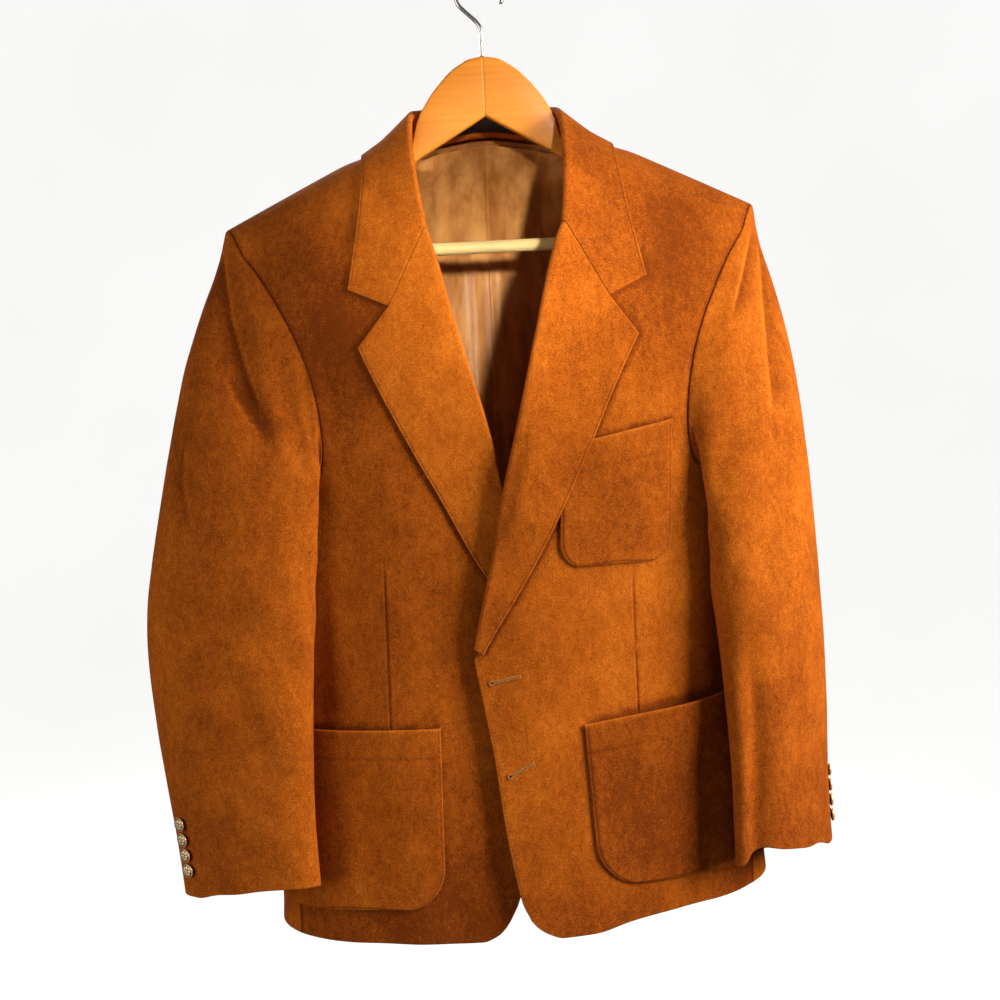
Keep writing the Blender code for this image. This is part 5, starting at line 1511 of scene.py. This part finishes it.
def build_body_cloth():
    panels = {}
    for word, side in (("left", 1), ("right", -1)):
        surface, hem_run = front_surface(side)
        name = "front_" + word
        pockets = (POCKET_LEFT, POCKET_BREAST) if side > 0 else (POCKET_RIGHT,)
        marks = (0.455 if side > 0 else 0.44,)
        cloth_grid = panel_cloth(name, surface, 1, hem_run, side, marks, pockets)
        points, into, (u, v), tint = cloth_grid
        rims = (TURNED, SEWN, TURNED, SEWN)
        slots = facing_slots(u, v, 0.3, 0.05)
        panels[name] = cloth(name, points, into, rims, side, slots, tint)
        if side > 0:
            edge = v[:, 0] < 0.24
            line, up = points[edge, 0], -into[edge, 0]
            line = inset(line, up, points[edge, 20], 2.6)
            threads.add(stitch_row(line, up), side)

        surface, hem_run = back_surface(side)
        name = "back_" + word
        points, into, (u, v), tint = panel_cloth(name, surface, -1, hem_run, side)
        slots = facing_slots(u + 1, v, 0.3, 0.05)
        rims = (SEWN, SEWN, TURNED, SEWN)
        panels[name] = cloth(name, points, into, rims, side, slots, tint)

        name = "side_" + word
        us, vs = near_ends(40, 0.03), near_ends(90, 0.0095)
        u, v = np.meshgrid(us * 0.992 + 0.004, vs)
        points = side_surface(side)(u, v)
        into = -grid_normals(points)
        calm = np.prod([fade(d, 0, CALM_REACH) for d in edge_lengths(points)], axis=0)
        depth = soft(points, 5 + side) * calm
        points = points + into * depth[..., None]
        into = -grid_normals(points)
        slots = facing_slots(u + 1, v, 0.3, 0.09)
        tint = mottle_and_painted_light(name, points)
        panels[name] = cloth(name, points, into, rims, side, slots, tint)
    return panels


# Collar, lapels and pockets


STITCH_INSET = 2.3  # how far inside an edge its stitches lie
PICK_DEPTH = 0.3  # how deep they are pulled in


def edge_stitches(line, up, towards, side=1):
    """Stitches a little inside a free edge."""
    threads.add(stitch_row(inset(line, up, towards, STITCH_INSET), up), side)


def finished_leaf(grid, seed, depth):
    """Waves on the leaf of a folded piece, and its edge pressed in along the stitches."""
    into = -grid_normals(grid)
    lengths = edge_lengths(grid)
    leaf = fade(np.arange(grid.shape[1]), LEAF_START, LEAF_START + 12)[None]
    ends = fade(np.minimum(lengths[2], lengths[3]), 0, 20)
    grid = grid + into * (soft(grid, seed, depth) * leaf * ends)[..., None]
    away = lengths[1] + 50 * (1 - leaf)
    grid = grid + into * (PICK_DEPTH * bell(away - STITCH_INSET, 0.75))[..., None]
    return grid, -grid_normals(grid), lengths[1]


def stitch_shade_and_rim(away):
    """Painted shade along the groove where the edge is stitched, with a lighter rim outside it."""
    return 0.25 * bell(away, 1.2) - 0.3 * bell(away - STITCH_INSET, 0.8)


def build_collar_cloth():
    left = collar_half(1)
    right = collar_half(-1) * MIRROR
    middle = (left[-1] + right[-1]) / 2
    middle[:, 0] = 0
    grid = np.concatenate([left[:-1], [middle], right[-2::-1]])
    grid, into, from_edge = finished_leaf(grid, 11, (0.5, 0.35))
    rims = (PLAIN, TURNED, TURNED, TURNED)
    tint = mottle_and_painted_light("collar", grid) + stitch_shade_and_rim(from_edge)
    collar = cloth("collar", grid, into, rims, 1, 0, tint)
    edge_stitches(grid[:, -1], -into[:, -1], grid[:, -12])
    pieces = {"collar": collar}
    for word, side in (("left", 1), ("right", -1)):
        half = left if side > 0 else right * MIRROR
        grid, into, from_edge = finished_leaf(lapel_grid(side, half[0]), 13 + side, (0.5, 0.3))
        name = "lapel_" + word
        tint = mottle_and_painted_light(name, grid) + stitch_shade_and_rim(from_edge)
        pieces[name] = cloth(name, grid, into, rims, side, 0, tint)
        edge_stitches(grid[:, -1], -into[:, -1], grid[:, -12], side)
        top = slice(LEAF_START + int((LEAF_STEPS < NOTCH_REACH + 0.01).sum()), None)
        edge_stitches(grid[-1, top], -into[-1, top], grid[-14, top], side)
    return pieces, left


def build_pocket_cloth():
    pieces = {}
    for name, patch, side in (
        ("pocket_left", POCKET_LEFT, 1),
        ("pocket_right", POCKET_RIGHT, -1),
        ("pocket_breast", POCKET_BREAST, 1),
    ):
        height = (patch.top_inner + patch.top_outer) / 2 - patch.bottom
        us, vs = near_ends(64, 5 / patch.width), near_ends(64, 5 / height) * 0.994
        u, v = np.meshgrid(us, vs)
        points = pocket_surface(patch, side)(u, v)
        into = grid_normals(points)
        lengths = edge_lengths(points)
        border = np.minimum(np.minimum(lengths[0], lengths[1]), lengths[3])
        mouth = lengths[2]
        depth = 0.95 * (1 - fade(border, 0, 5)) * fade(mouth, 0, 8)
        depth = depth + soft(points, 21 + side, (0.5, 0.3)) * fade(border, 0, 18) * fade(mouth, 0, 14)
        depth = depth + 0.28 * bell(border - 2.4, 0.8)
        depth = depth + groove(mouth - POCKET_HEM, 0.9, 0.3)
        points = points + into * depth[..., None]
        into = grid_normals(points)
        rims = (TURNED, TURNED, MOUTH, TURNED)
        inside = np.where(v * height < POCKET_HEM, 0, 1)
        tint = mottle_and_painted_light(name, points)
        # painted shade in the stitched ditch round the border and in the groove of the hem
        tint = tint - 0.5 * bell(border - 2.5, 0.8) * fade(mouth, 0, 6)
        tint = tint - 0.35 * bell(mouth - POCKET_HEM, 0.9)
        pieces[name] = cloth(name, points, into, rims, side, inside, tint)
        around = np.concatenate([points[:, 0], points[-1, 1:], points[::-1, -1][1:]])
        ups = -np.concatenate([into[:, 0], into[-1, 1:], into[::-1, -1][1:]])
        middle = points[len(points) // 2, points.shape[1] // 2]
        line = inset(around, ups, np.broadcast_to(middle, around.shape), 2.4)
        threads.add(stitch_row(line, ups, skip=6), side)
    return pieces


# Sleeves


SLEEVE_CREASES = {
    1: table(
        SleeveFold, (0.1, -400, 0.015, -225, 9, 3.0), (0.17, -430, 0.09, -300, 8, 2.6),
        (0.27, -480, 0.17, -400, 9, 2.6), (0.3, -560, 0.2, -500, 10, 2.2),
        (0.2, -980, 0.235, -590, 13, 1.0), (0.06, -900, 0.03, -720, 14, 2.0),
        (0.78, -560, 0.9, -500, 10, 1.8), (0.62, -600, 0.74, -560, 9, 1.8),
        (0.8, -860, 0.82, -690, 12, 2.0),
    ),
    -1: table(
        SleeveFold, (0.17, -440, 0.03, -250, 8, 3.2), (0.23, -440, 0.12, -320, 8, 2.8),
        (0.22, -720, 0.08, -560, 14, 3.4), (0.3, -560, 0.22, -480, 10, 2.2),
        (0.28, -800, 0.24, -690, 11, 1.6), (0.04, -880, 0.02, -740, 12, 1.4),
        (0.78, -560, 0.9, -500, 10, 1.8), (0.62, -620, 0.74, -570, 9, 1.8),
        (0.8, -860, 0.82, -690, 12, 2.0),
    ),
}
# Soft folds down the front of a sleeve: a ridge along a line, the cloth pressed in and painted shade on
# one side of it, a painted highlight along its top
SleeveRidge = namedtuple("SleeveRidge", "line shade_side reach tone depth")
SLEEVE_RIDGES = {
    1: table(
        SleeveRidge, (((232, -245), (226, -262), (217, -285), (204, -317)), 1, 9, 1.1, 2.6),
        (((241, -249), (237, -306), (234, -402)), 1, 12, 0.8, 2.0),
        (((229, -407), (234, -436)), 1, 14, 0.5, 1.6),
        (((182, -332), (186, -346)), -1, 9, 0.5, 1.4),
    ),
    -1: table(
        SleeveRidge,
        (
            ((240, -238), (237, -266), (232, -301), (225, -327), (218, -351), (207, -380)),
            1, 12, 1.1, 3.0,
        ),
        (((237, -348), (228, -370), (215, -389), (205, -406)), -1, 10, 0.9, 2.0),
        (((277, -399), (281, -434), (275, -475)), 1, 14, 0.6, 1.6),
    ),
}


def ridge_shade(points, normals, ridge):
    """How deep a point lies in the shade beside a ridge, and how near it is to its top."""
    xs, zs = zip(*ridge.line[::-1])
    x, z = points[..., 0], points[..., 2]
    beside = ridge.shade_side * (x - np.interp(z, zs, xs))
    here = fade(z, zs[0] - 8, zs[0] + 18) * fade(z, zs[-1] + 6, zs[-1] - 16)
    here = here * fade(-normals[..., 1], 0.0, 0.35)
    shade = fade(beside, -1.2, 2.0) * np.exp(-np.maximum(beside, 0) / ridge.reach)
    top = bell(beside + 2.0, 2.0)
    return shade * here, top * here


BACK_SEAM = -0.115  # of a turn round the sleeve from its crown line
FRONT_SEAM = 0.385


SLEEVE_AROUND = 168  # even columns and rows of a sleeve
SLEEVE_ROWS = 150
SEAM_SPAN = 0.012  # of a turn on each side of a seam where the columns are close
TURNED_IN = (5.0, 3.4, 2.0, 1.0, 0.4)  # depths of the rows that turn in at the armhole
SATIN_FROM = 0.4  # of the sleeve's length, where its satin begins and ends
SATIN_TO = 0.93


def build_sleeve_cloth():
    pieces, tracks = {}, {}
    for word, side in (("left", 1), ("right", -1)):
        outer, inner = sleeve_grids(side)
        s_rough = SLEEVE_TURNS
        count = len(s_rough)
        even = np.arange(count) / count
        fine = np.arange(SLEEVE_AROUND) / SLEEVE_AROUND
        s_fine = fine + spline_matrix(count, fine, True) @ (s_rough - even)
        seams = [np.interp(s % 1, s_fine, fine) for s in (BACK_SEAM, FRONT_SEAM)]
        close = np.concatenate([m + np.linspace(-1, 1, 13) * SEAM_SPAN for m in seams])
        fine = np.unique(np.round(np.concatenate([fine, close % 1]), 5))
        around = spline_matrix(count, fine, True)
        s = fine + around @ (s_rough - even)
        rows = near_ends(SLEEVE_ROWS, 0.006)
        down = spline_matrix(len(outer), rows, False)
        points = np.einsum("ra,abk,cb->rck", down, outer, around)
        into = unit(np.einsum("ra,abk,cb->rck", down, inner - outer, around))
        loop = armhole_loop(side)
        change = loop(s) - around @ loop(s_rough)
        below = edge_lengths(points)[2]
        points = points + change[None] * np.exp(-below / 14)[..., None]
        normals = grid_normals(points, wrap=True)
        points = sleeve_folds(points, s[None], normals, SLEEVE_CREASES[side])
        ridge_tone = 0
        for ridge in SLEEVE_RIDGES[side]:
            shade, top = ridge_shade(points, normals, ridge)
            points = points - normals * (ridge.depth * shade)[..., None]
            # painted shade beside each ridge and a painted highlight along its top
            ridge_tone = ridge_tone + ridge.tone * (0.45 * top - shade)
        calm = fade(below, 2, 26)[..., None]
        points = points - normals * soft(points, 31 + side, (1.0, 0.5))[..., None] * calm
        for seam, deep in ((BACK_SEAM, 0.7), (FRONT_SEAM, 0.6)):
            away = (np.mod(s - seam + 0.5, 1) - 0.5) * SLEEVE_GIRTH
            sewn = groove(away, 0.9, deep)[None] * fade(below, 3, 12)
            points = points - normals * sewn[..., None]
        points[2:] = outside_body(points, sleeve_clearance(points[..., 2]))[2:]
        normals = grid_normals(points, wrap=True)
        share = fade(below, 2, 14)[..., None]
        into = unit(into * (1 - share) - normals * share)
        seam, normal, opening = armhole_frame(side, s_rough)
        normal, opening = unit(around @ normal), unit(around @ opening)
        points = points - normal * rolled(below, 1.4)[..., None]
        deep = np.array(TURNED_IN)[:, None, None]
        turned_in = points[:1] - normal * deep
        turned_into = unit(opening * deep + into[:1] * (5.2 - deep))
        points, into = np.concatenate([turned_in, points]), np.concatenate([turned_into, into])
        name = "sleeve_" + word
        # painted shade at the armhole seam and on the rows turned in there, with the painted patches
        # and ridges
        dark = -0.9 * bell(below, 2) + mottle_and_painted_light(name, points[len(TURNED_IN):]) + ridge_tone
        tint = np.concatenate([np.full_like(turned_in[..., 0], -0.9), dark])
        rims = (None, None, PLAIN, TURNED)
        rows = np.concatenate([np.zeros(len(TURNED_IN)), rows])
        inside = np.where((rows > SATIN_FROM) & (rows < SATIN_TO), 1, 0)[:, None]
        pieces[name] = cloth(name, points, into, rims, side, inside, tint, wrap=True)
        turn = BUTTON_TURN_LEFT if side > 0 else BUTTON_TURN_RIGHT
        share = np.interp(count * (turn % 1), np.arange(count), s_rough)
        at = int(np.argmin(np.abs(s - share)))
        tracks[word] = (points[len(TURNED_IN):, at], normals[:, at])
    return pieces, tracks


# Lining and label


Wave = namedtuple("Wave", "x width depth")
LINING_WAVES = table(
    Wave, (-44, 7, 3.0), (-21, 5, 2.2), (14, 6, 3.0), (33, 8, 3.2), (60, 10, 2.4), (-66, 9, 2.4)
)


def build_lining_cloth():
    right_half, left_half = (back_surface(side)[0] for side in (-1, 1))

    def surface(u, v):
        v = v - LINING_DROP * v * fade(np.abs(2 * u - 1), 0.18, 0.34)
        right = right_half(np.maximum(1 - 2 * u, 0), v) * MIRROR
        left = left_half(np.maximum(2 * u - 1, 0), v)
        return np.where((u < 0.5)[..., None], right, left)

    us = 0.5 + LINING_REACH / 2 * (2 * near_ends(110, 0.01, marks=(0.5,), mark_width=0.02) - 1)
    vs = 0.04 + (LINING_TOP - 0.04) * near_ends(110, 0.004)
    u, v = np.meshgrid(us, vs)
    base = surface(u, v)
    normals = -grid_normals(base)
    points = base - normals * (CLOTH + LINING_GAP)
    x, z = points[..., 0], points[..., 2]
    wave = 0
    for place, width, depth in LINING_WAVES:
        sway = place + 5 * np.sin(z / 90 + place) + (z + 200) * place * 0.0012
        wave = wave + depth * bell(x - sway, width)
    wave = wave + 1.2 * bell(z + 176 + 0.12 * x, 5)
    wave = wave + soft(points, 41, (0.8, 0.5)) + groove(x, 0.8, 0.8)
    edges = np.prod([fade(d, 0, 8) for d in edge_lengths(points)], axis=0)
    points = points - normals * (wave * edges)[..., None]
    into = -normals
    rims = (PLAIN, PLAIN, PLAIN, Rim(0.5, 0.4, 0))
    return shell("lining_cloth", points, into, [SATIN_CLOTH], rims, thickness=SATIN)


def build_label_cloth(left):
    half = left[-22:, [0, LEAF_START - len(ARC_DEGREES)]]
    sections = np.concatenate([half, (half * MIRROR)[-2::-1]])
    steps = LABEL_BOTTOM + (LABEL_TOP - LABEL_BOTTOM) * near_ends(18, 0.1)
    grid = []
    for x in LABEL_HALF * (2 * near_ends(60, 0.02) - 1):
        seat, top = (
            np.array([np.interp(-x, -line[:, 0], line[:, c]) for c in range(3)])
            for line in (sections[:, 0], sections[:, 1])
        )
        grid.append(seat + (top - seat) * steps[:, None])
    grid = np.array(grid)
    normals = grid_normals(grid)
    normals = normals * -np.sign(normals[len(grid) // 2, 5, 1])
    outer = grid + normals * (LABEL_GAP + LABEL_THICK)
    lengths = edge_lengths(outer)
    border = np.minimum.reduce(lengths)
    outer = outer - normals * (0.22 * bell(border - 1.6, 0.45))[..., None]
    rims = (Rim(0.3, 0.2, 0),) * 4
    return shell("label_cloth", outer, -normals, [LABEL_CLOTH], rims, thickness=LABEL_THICK)


# Buttons, buttonholes and hanger


def button(name, centre, axis, radius, sides=56):
    """A domed metal button with a rolled rim and a ring of plain petals."""
    axis = unit(np.asarray(axis, float))
    helper = np.array([0, 0, 1.0]) if abs(axis[2]) < 0.9 else np.array([1.0, 0, 0])
    first = unit(np.cross(helper, axis))
    second = np.cross(axis, first)
    high = BUTTON_THICKNESS
    back = [(0, -0.62), (0.28, -0.62), (0.3, -0.55), (0.3, -0.05), (0.34, 0.0), (0.84, 0.0)]
    rim = [(0.93, 0.04), (0.985, 0.14), (1.0, 0.26), (0.985, 0.4), (0.94, 0.52), (0.88, 0.56)]
    face = [(r, 0.84 - 0.36 * r * r) for r in np.linspace(0.82, 0, 17)]
    profile = np.array(back + rim + face)
    angle = 2 * math.pi * np.arange(sides) / sides
    r = profile[:, :1] + 0 * angle
    h = profile[:, 1:] + 0 * angle
    facing = (np.arange(len(profile)) >= len(back) + len(rim))[:, None]
    petals = np.cos(8 * angle)[None] * fade(r, 0.24, 0.42) * fade(r, 0.8, 0.66)
    core = np.cos(5 * angle + 0.4)[None] * fade(r, 0.04, 0.12) * fade(r, 0.26, 0.18)
    ditch = bell(r - 0.3, 0.045) + 1.3 * bell(r - 0.8, 0.035)
    carving = facing * (0.055 * petals + 0.04 * core - 0.085 * ditch)
    relief = np.where(facing, 0.62 + 7 * carving, fade(r, 0.8, 0.95) * 0.7)
    h = h + carving
    flat = radius * r[..., None] * (
        np.cos(angle)[None, :, None] * first + np.sin(angle)[None, :, None] * second
    )
    points = centre + flat + (h * high)[..., None] * axis
    index, beside, quads = ring_quads(len(profile), sides)
    faces = quads[1:-1].reshape(-1, 4).tolist()
    faces += [[index[0, 0], b, a] for a, b in zip(index[1], beside[1])]
    faces += [[index[-1, 0], a, b] for a, b in zip(index[-2], beside[-2])]
    used = np.concatenate([[index[0, 0]], index[1:-1].ravel(), [index[-1, 0]]])
    number = {int(v): k for k, v in enumerate(used)}
    faces = [[number[int(v)] for v in f] for f in faces]
    obj = add_mesh(name, points.reshape(-1, 3)[used], faces, [BRASS])
    data = obj.data.attributes.new("relief", "FLOAT", "POINT")
    data.data.foreach_set("value", np.clip(relief.reshape(-1)[used], 0, 1))
    return obj


def build_button_pieces(tracks):
    pieces = {}
    shank = BUTTON_THICKNESS * 0.62 + 0.3
    for word, side in (("left", 1), ("right", -1)):
        track, facing = tracks[word]
        order = np.argsort(track[:, 2])
        flip = np.array([side, 1, 1])
        for number, z in enumerate(CUFF_BUTTON_HEIGHTS, start=1):
            centre, axis = (
                np.array([np.interp(z, track[order, 2], rows[order, k]) for k in range(3)])
                for rows in (track, facing)
            )
            node = f"cuff_button_{word}_{number}"
            centre = (centre + unit(axis) * shank) * flip
            pieces[node] = button(node + "_metal", centre, axis * flip, CUFF_BUTTON_RADIUS)
    for number, z in enumerate(FRONT_BUTTON_HEIGHTS, start=1):
        node = f"front_button_{number}"
        centre = np.array(
            [-FRONT_BUTTON_X, float(front_y(FRONT_BUTTON_X, z, -1)) - shank - 0.8, z]
        )
        pieces[node] = button(node + "_metal", centre, (0, -1, 0), FRONT_BUTTON_RADIUS)
    return pieces


Hole = namedtuple("Hole", "x_eye z_eye x_tack z_tack")
PURLED = {"radius": 0.36, "sink": 0.0, "skip": 0.1, "turn": math.pi / 2}
HOLES = table(Hole, (-24, -623, 1, -618), (-12, -706, 9, -696))


def on_left_front(flat, lift):
    """Points a little in front of the left front's cloth."""
    flat = np.array(flat)
    return np.stack([flat[:, 0], front_y(flat[:, 0], flat[:, 1], 1) - lift, flat[:, 1]], -1)


def build_buttonholes():
    """Two keyhole buttonholes on the left front: purled edges, a near-black tube in each slit as
    painted shade, and a bar tack.
    """
    purl, slits = Threads(), []
    for hole in HOLES:
        eye, tack = np.array([hole.x_eye, hole.z_eye]), np.array([hole.x_tack, hole.z_tack])
        along = (tack - eye) / np.linalg.norm(tack - eye)
        across = np.array([-along[1], along[0]])
        length = np.linalg.norm(tack - eye)
        outline = []
        for a in np.radians(np.arange(60, 301, 20)):
            outline.append(eye + 1.9 * (math.cos(a) * along + math.sin(a) * across))
        for side_sign in (-1, 1):
            run = np.linspace(2.2, length - 0.6, 14)
            part = [eye + d * along + side_sign * 0.75 * across for d in run]
            outline = outline + part if side_sign < 0 else part[::-1] + outline
        line = on_left_front(outline, 0.15)
        ups = [cloth_normal(x, float(run_of(x, z, FRONT_REACH)), 1) for x, _, z in line]
        ups = np.array(ups)
        purl.add(stitch_row(line, ups, pitch=0.62, length=2.1, **PURLED))
        bar = [tack + w * across for w in np.linspace(-1.9, 1.9, 5)]
        line = on_left_front(bar, 0.35)
        purl.add(stitch_row(line, ups[:5], pitch=0.6, length=2.0, **PURLED))
        # a near-black tube stands for the shade in each slit
        core = [eye + d * along for d in np.linspace(-1.2, length - 1.2, 12)]
        slits.append(tube(on_left_front(core, 0.02), 0.42, 8))
    points = np.concatenate([s[0] for s in slits])
    shift = len(slits[0][0])
    faces = slits[0][1] + [[v + shift for v in f] for f in slits[1][1]]
    dark = thread("buttonhole_slit_shade", (0.01, 0.003, 0.001), (0.03, 0.009, 0.002))
    return purl.make("buttonhole_purl", PURL), add_mesh("buttonhole_slits", points, faces, [dark])


WOOD_END = WOOD[-1].x
WOOD_END_ROUND = 3.0  # how far from the arm's end it begins to round off
WOOD_END_FALL = 2.4
WOOD_JOINT = 0.35  # depth of the fine line where the two arms are joined
WOOD_STEP = (184.6, 184.9, 185.3, 185.6)  # close sections where the arm steps down to the bar


def build_wood():
    """The two arms of the hanger, with rounded edges and ends."""
    near_end, near_joint = WOOD_END - np.array([0.3, 0.8, 1.5, 2.4]), (0.25, 0.6, 1.1)
    xs = np.concatenate([np.linspace(0, WOOD_END, 110), near_end, WOOD_STEP, near_joint])
    xs = np.unique(np.round(xs, 4))
    top, bottom, depth, y = (from_table(WOOD, "x", key, xs) for key in Section._fields[1:])
    end = np.clip((WOOD_END - xs) / WOOD_END_ROUND, 0, 1)
    fall = WOOD_END_FALL * (1 - np.sqrt(1 - (1 - end) ** 2))
    middle, half_high = (top + bottom) / 2, (top - bottom) / 2
    half_high, half_deep = half_high - fall, depth / 2 - fall
    joint = WOOD_JOINT * bell(xs, 0.5)
    half_high, half_deep = half_high - joint * 0.5, half_deep - joint
    corner = np.minimum(WOOD_BEVEL * 1.15, np.minimum(half_high, half_deep) * 0.85)
    quarter = np.radians(np.linspace(0, 90, 7))
    ring = []
    for sy, sz, turn in ((1, 1, 0), (-1, 1, 90), (-1, -1, 180), (1, -1, 270)):
        for a in quarter + math.radians(turn):
            ring.append((sy, sz, math.cos(a), math.sin(a)))
    ring = np.array(ring)
    deep, high, round_y, round_z = (ring[None, :, k] for k in range(4))
    ys = y[:, None] + deep * (half_deep - corner)[:, None] + round_y * corner[:, None]
    zs = middle[:, None] + high * (half_high - corner)[:, None] + round_z * corner[:, None]
    half = np.stack([xs[:, None] + 0 * ys, ys, zs], -1)
    whole = np.concatenate([(half * MIRROR)[:0:-1], half])
    index, _, quads = ring_quads(*whole.shape[:2])
    faces = quads.reshape(-1, 4).tolist()
    faces += [index[0, ::-1].tolist(), index[-1].tolist()]
    return add_mesh("hanger_wood_shaped", whole, faces, [WOOD_VARNISHED])


BAR_SAG = 0.6


def build_bar():
    """The turned trouser bar, which sags a little."""
    x = BAR_HALF * (2 * near_ends(60, 0.012) - 1)
    sag = -BAR_SAG * np.cos(x / BAR_HALF * math.pi / 2)
    path = np.stack([x, np.full_like(x, BAR_Y), BAR_Z + sag + BAR_SAG], -1)
    radius = BAR_RADIUS - rolled(BAR_HALF - np.abs(x), 0.6)
    points, faces = tube(path, radius, 28)
    return add_mesh("hanger_bar_turned", points, faces, [BAR_WOOD])


HOOK_NECK = -68
HOOK_START_TURN = 222  # degrees round the loop where the wire comes up into it


def build_hook():
    """The wire hook: a stem out of the wood and an open loop with a rounded end."""
    loop_z = WIRE_RADIUS - HOOK_RADIUS
    turns = np.radians(np.linspace(HOOK_START_TURN, HOOK_END_TURN, 18))
    loop = [(HOOK_RADIUS * math.cos(a), loop_z + HOOK_RADIUS * math.sin(a)) for a in turns]
    lead_in = (loop[0][0] * 0.45, HOOK_STEM_TOP * 0.45 + loop[0][1] * 0.55)
    path = [(0, HOOK_ROOT), (0, HOOK_NECK), (0, HOOK_STEM_TOP), lead_in] + loop
    path = np.array([(px, 0, pz) for px, pz in path])
    closer = spline_matrix(len(path), np.linspace(0, 1, 150), False) @ path
    near = np.append(0, np.cumsum(np.linalg.norm(np.diff(closer, axis=0), axis=1)))
    radius = WIRE_RADIUS - rolled(near[-1] - near, 1.7)
    points, faces = tube(closer, np.maximum(radius, 0.15), 24)
    return add_mesh("hanger_hook_wire", points, faces, [STEEL])


# Everything, in the order of the parts list

pieces = {}
pieces.update(build_body_cloth())
sleeves, tracks = build_sleeve_cloth()
pieces.update(sleeves)
collar_pieces, collar_left = build_collar_cloth()
pieces.update(collar_pieces)
pieces.update(build_pocket_cloth())
pieces["lining_back"] = build_lining_cloth()
pieces["label"] = build_label_cloth(collar_left)
pieces.update(build_button_pieces(tracks))
pieces["hanger_wood"] = build_wood()
pieces["hanger_bar"] = build_bar()
pieces["hanger_hook"] = build_hook()

for node, piece in pieces.items():
    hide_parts(node)

# Fields for a cloth piece's flat size in metres, as cut to what shows, and what it hangs on; no piece
# is given them here
Sheet = namedtuple("Sheet", "width length area held rests_on")

threads.make("edge_stitches", SEWING)
for piece in build_buttonholes():
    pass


# Light, floor and camera


def aimed(name, data, place, aim):
    """A light object that points at a place."""
    light = linked(name, data)
    light.location = place
    light.rotation_euler = (Vector(aim) - Vector(place)).to_track_quat("-Z", "Y").to_euler()
    return light


def area_light(name, place, aim, size, power, colour):
    data = bpy.data.lights.new(name, "AREA")
    data.shape = "RECTANGLE"
    data.size, data.size_y = size
    data.energy = power
    data.color = colour
    light = aimed(name, data, place, aim)
    light.visible_camera = False


area_light("key", (1.3, -0.75, -0.05), (0.0, 0.0, -0.5), (0.8, 0.8), 45, (1.0, 0.94, 0.86))
area_light("fill", (-1.9, -1.4, -0.4), (0.0, 0.0, -0.7), (1.6, 1.6), 24, (1.0, 0.95, 0.9))
area_light("back", (-0.4, 2.1, 0.6), (0.0, 0.0, -0.4), (1.2, 1.2), 60, (1.0, 0.97, 0.93))

spot = bpy.data.lights.new("neck_light", "SPOT")
spot.energy = 520
spot.spot_size = math.radians(5.6)
spot.spot_blend = 1.0
spot.shadow_soft_size = 0.12
aimed("neck_light", spot, (0.42, -2.0, 0.12), (0.0, 0.0, -0.26))

world = bpy.data.worlds.new("studio")
bpy.context.scene.world = world
world.use_nodes = True
world.node_tree.nodes["Background"].inputs["Color"].default_value = (1.0, 0.96, 0.92, 1.0)
world.node_tree.nodes["Background"].inputs["Strength"].default_value = 0.11


FLOOR_Z = -1.32
FLOOR_REACH = 2.6  # how far the level floor reaches
FLOOR_BEND = 0.9
WALL_TOP = 3.2


def build_stage():
    """A pale floor that turns up into a round wall."""
    turns = np.radians(np.linspace(0, 90, 10))
    bend = [
        (FLOOR_REACH + FLOOR_BEND * math.sin(a), FLOOR_Z + FLOOR_BEND * (1 - math.cos(a)))
        for a in turns
    ]
    wall = (FLOOR_REACH + FLOOR_BEND, WALL_TOP)
    profile = [(0.0, FLOOR_Z), (FLOOR_REACH / 2, FLOOR_Z)] + bend + [wall]
    sides = 96
    points = [(0, 0, profile[0][1])]
    faces = []
    for k, (radius, z) in enumerate(profile[1:]):
        turns = [2 * math.pi * i / sides for i in range(sides)]
        points += [(radius * math.cos(a), radius * math.sin(a), z) for a in turns]
        for i in range(sides):
            j = (i + 1) % sides
            if k == 0:
                faces.append((0, 1 + i, 1 + j))
            else:
                low, high = 1 + (k - 1) * sides, 1 + k * sides
                faces.append((low + i, high + i, high + j, low + j))
    mesh = bpy.data.meshes.new("floor_and_wall")
    mesh.from_pydata(points, [], faces)
    mesh.shade_smooth()
    stage = linked("floor_and_wall", mesh)
    n = Nodes("pale_stage", (0.3, 0.3, 0.3))
    cloudy = n.noise(1.5, 2.0)
    colour = n.ramp(cloudy, (0.3, (0.955, 0.952, 0.947)), (0.7, (0.985, 0.983, 0.98)))
    n.set(Roughness=0.9, Emission_Color=colour, Emission_Strength=0.93)
    n.shader.inputs["Base Color"].default_value = (0.12, 0.12, 0.12, 1)
    mesh.materials.append(n.material)
    stage.visible_diffuse = False
    stage.visible_shadow = False
    stage.visible_glossy = False


build_stage()

CAMERA_PLACE = (-0.06223, -1.64899, -0.295)
CAMERA_TURN = math.radians(2.0)
CAMERA_PITCH = math.radians(6.248)
CAMERA_ROLL = math.radians(3.0)
forward = Vector((
    math.sin(CAMERA_TURN) * math.cos(CAMERA_PITCH),
    math.cos(CAMERA_TURN) * math.cos(CAMERA_PITCH),
    -math.sin(CAMERA_PITCH),
))
level = forward.cross(Vector((0, 0, 1))).normalized()
above = level.cross(forward)
right = level * math.cos(CAMERA_ROLL) - above * math.sin(CAMERA_ROLL)
above = above * math.cos(CAMERA_ROLL) + level * math.sin(CAMERA_ROLL)
camera_data = bpy.data.cameras.new("camera")
camera_data.sensor_width = 36
camera_data.lens = 65.3
camera = linked("camera", camera_data)
camera.matrix_world = Matrix((
    (right.x, above.x, -forward.x, CAMERA_PLACE[0]),
    (right.y, above.y, -forward.y, CAMERA_PLACE[1]),
    (right.z, above.z, -forward.z, CAMERA_PLACE[2]),
    (0, 0, 0, 1),
))
bpy.context.scene.camera = camera
bpy.context.scene.view_settings.view_transform = "Standard"
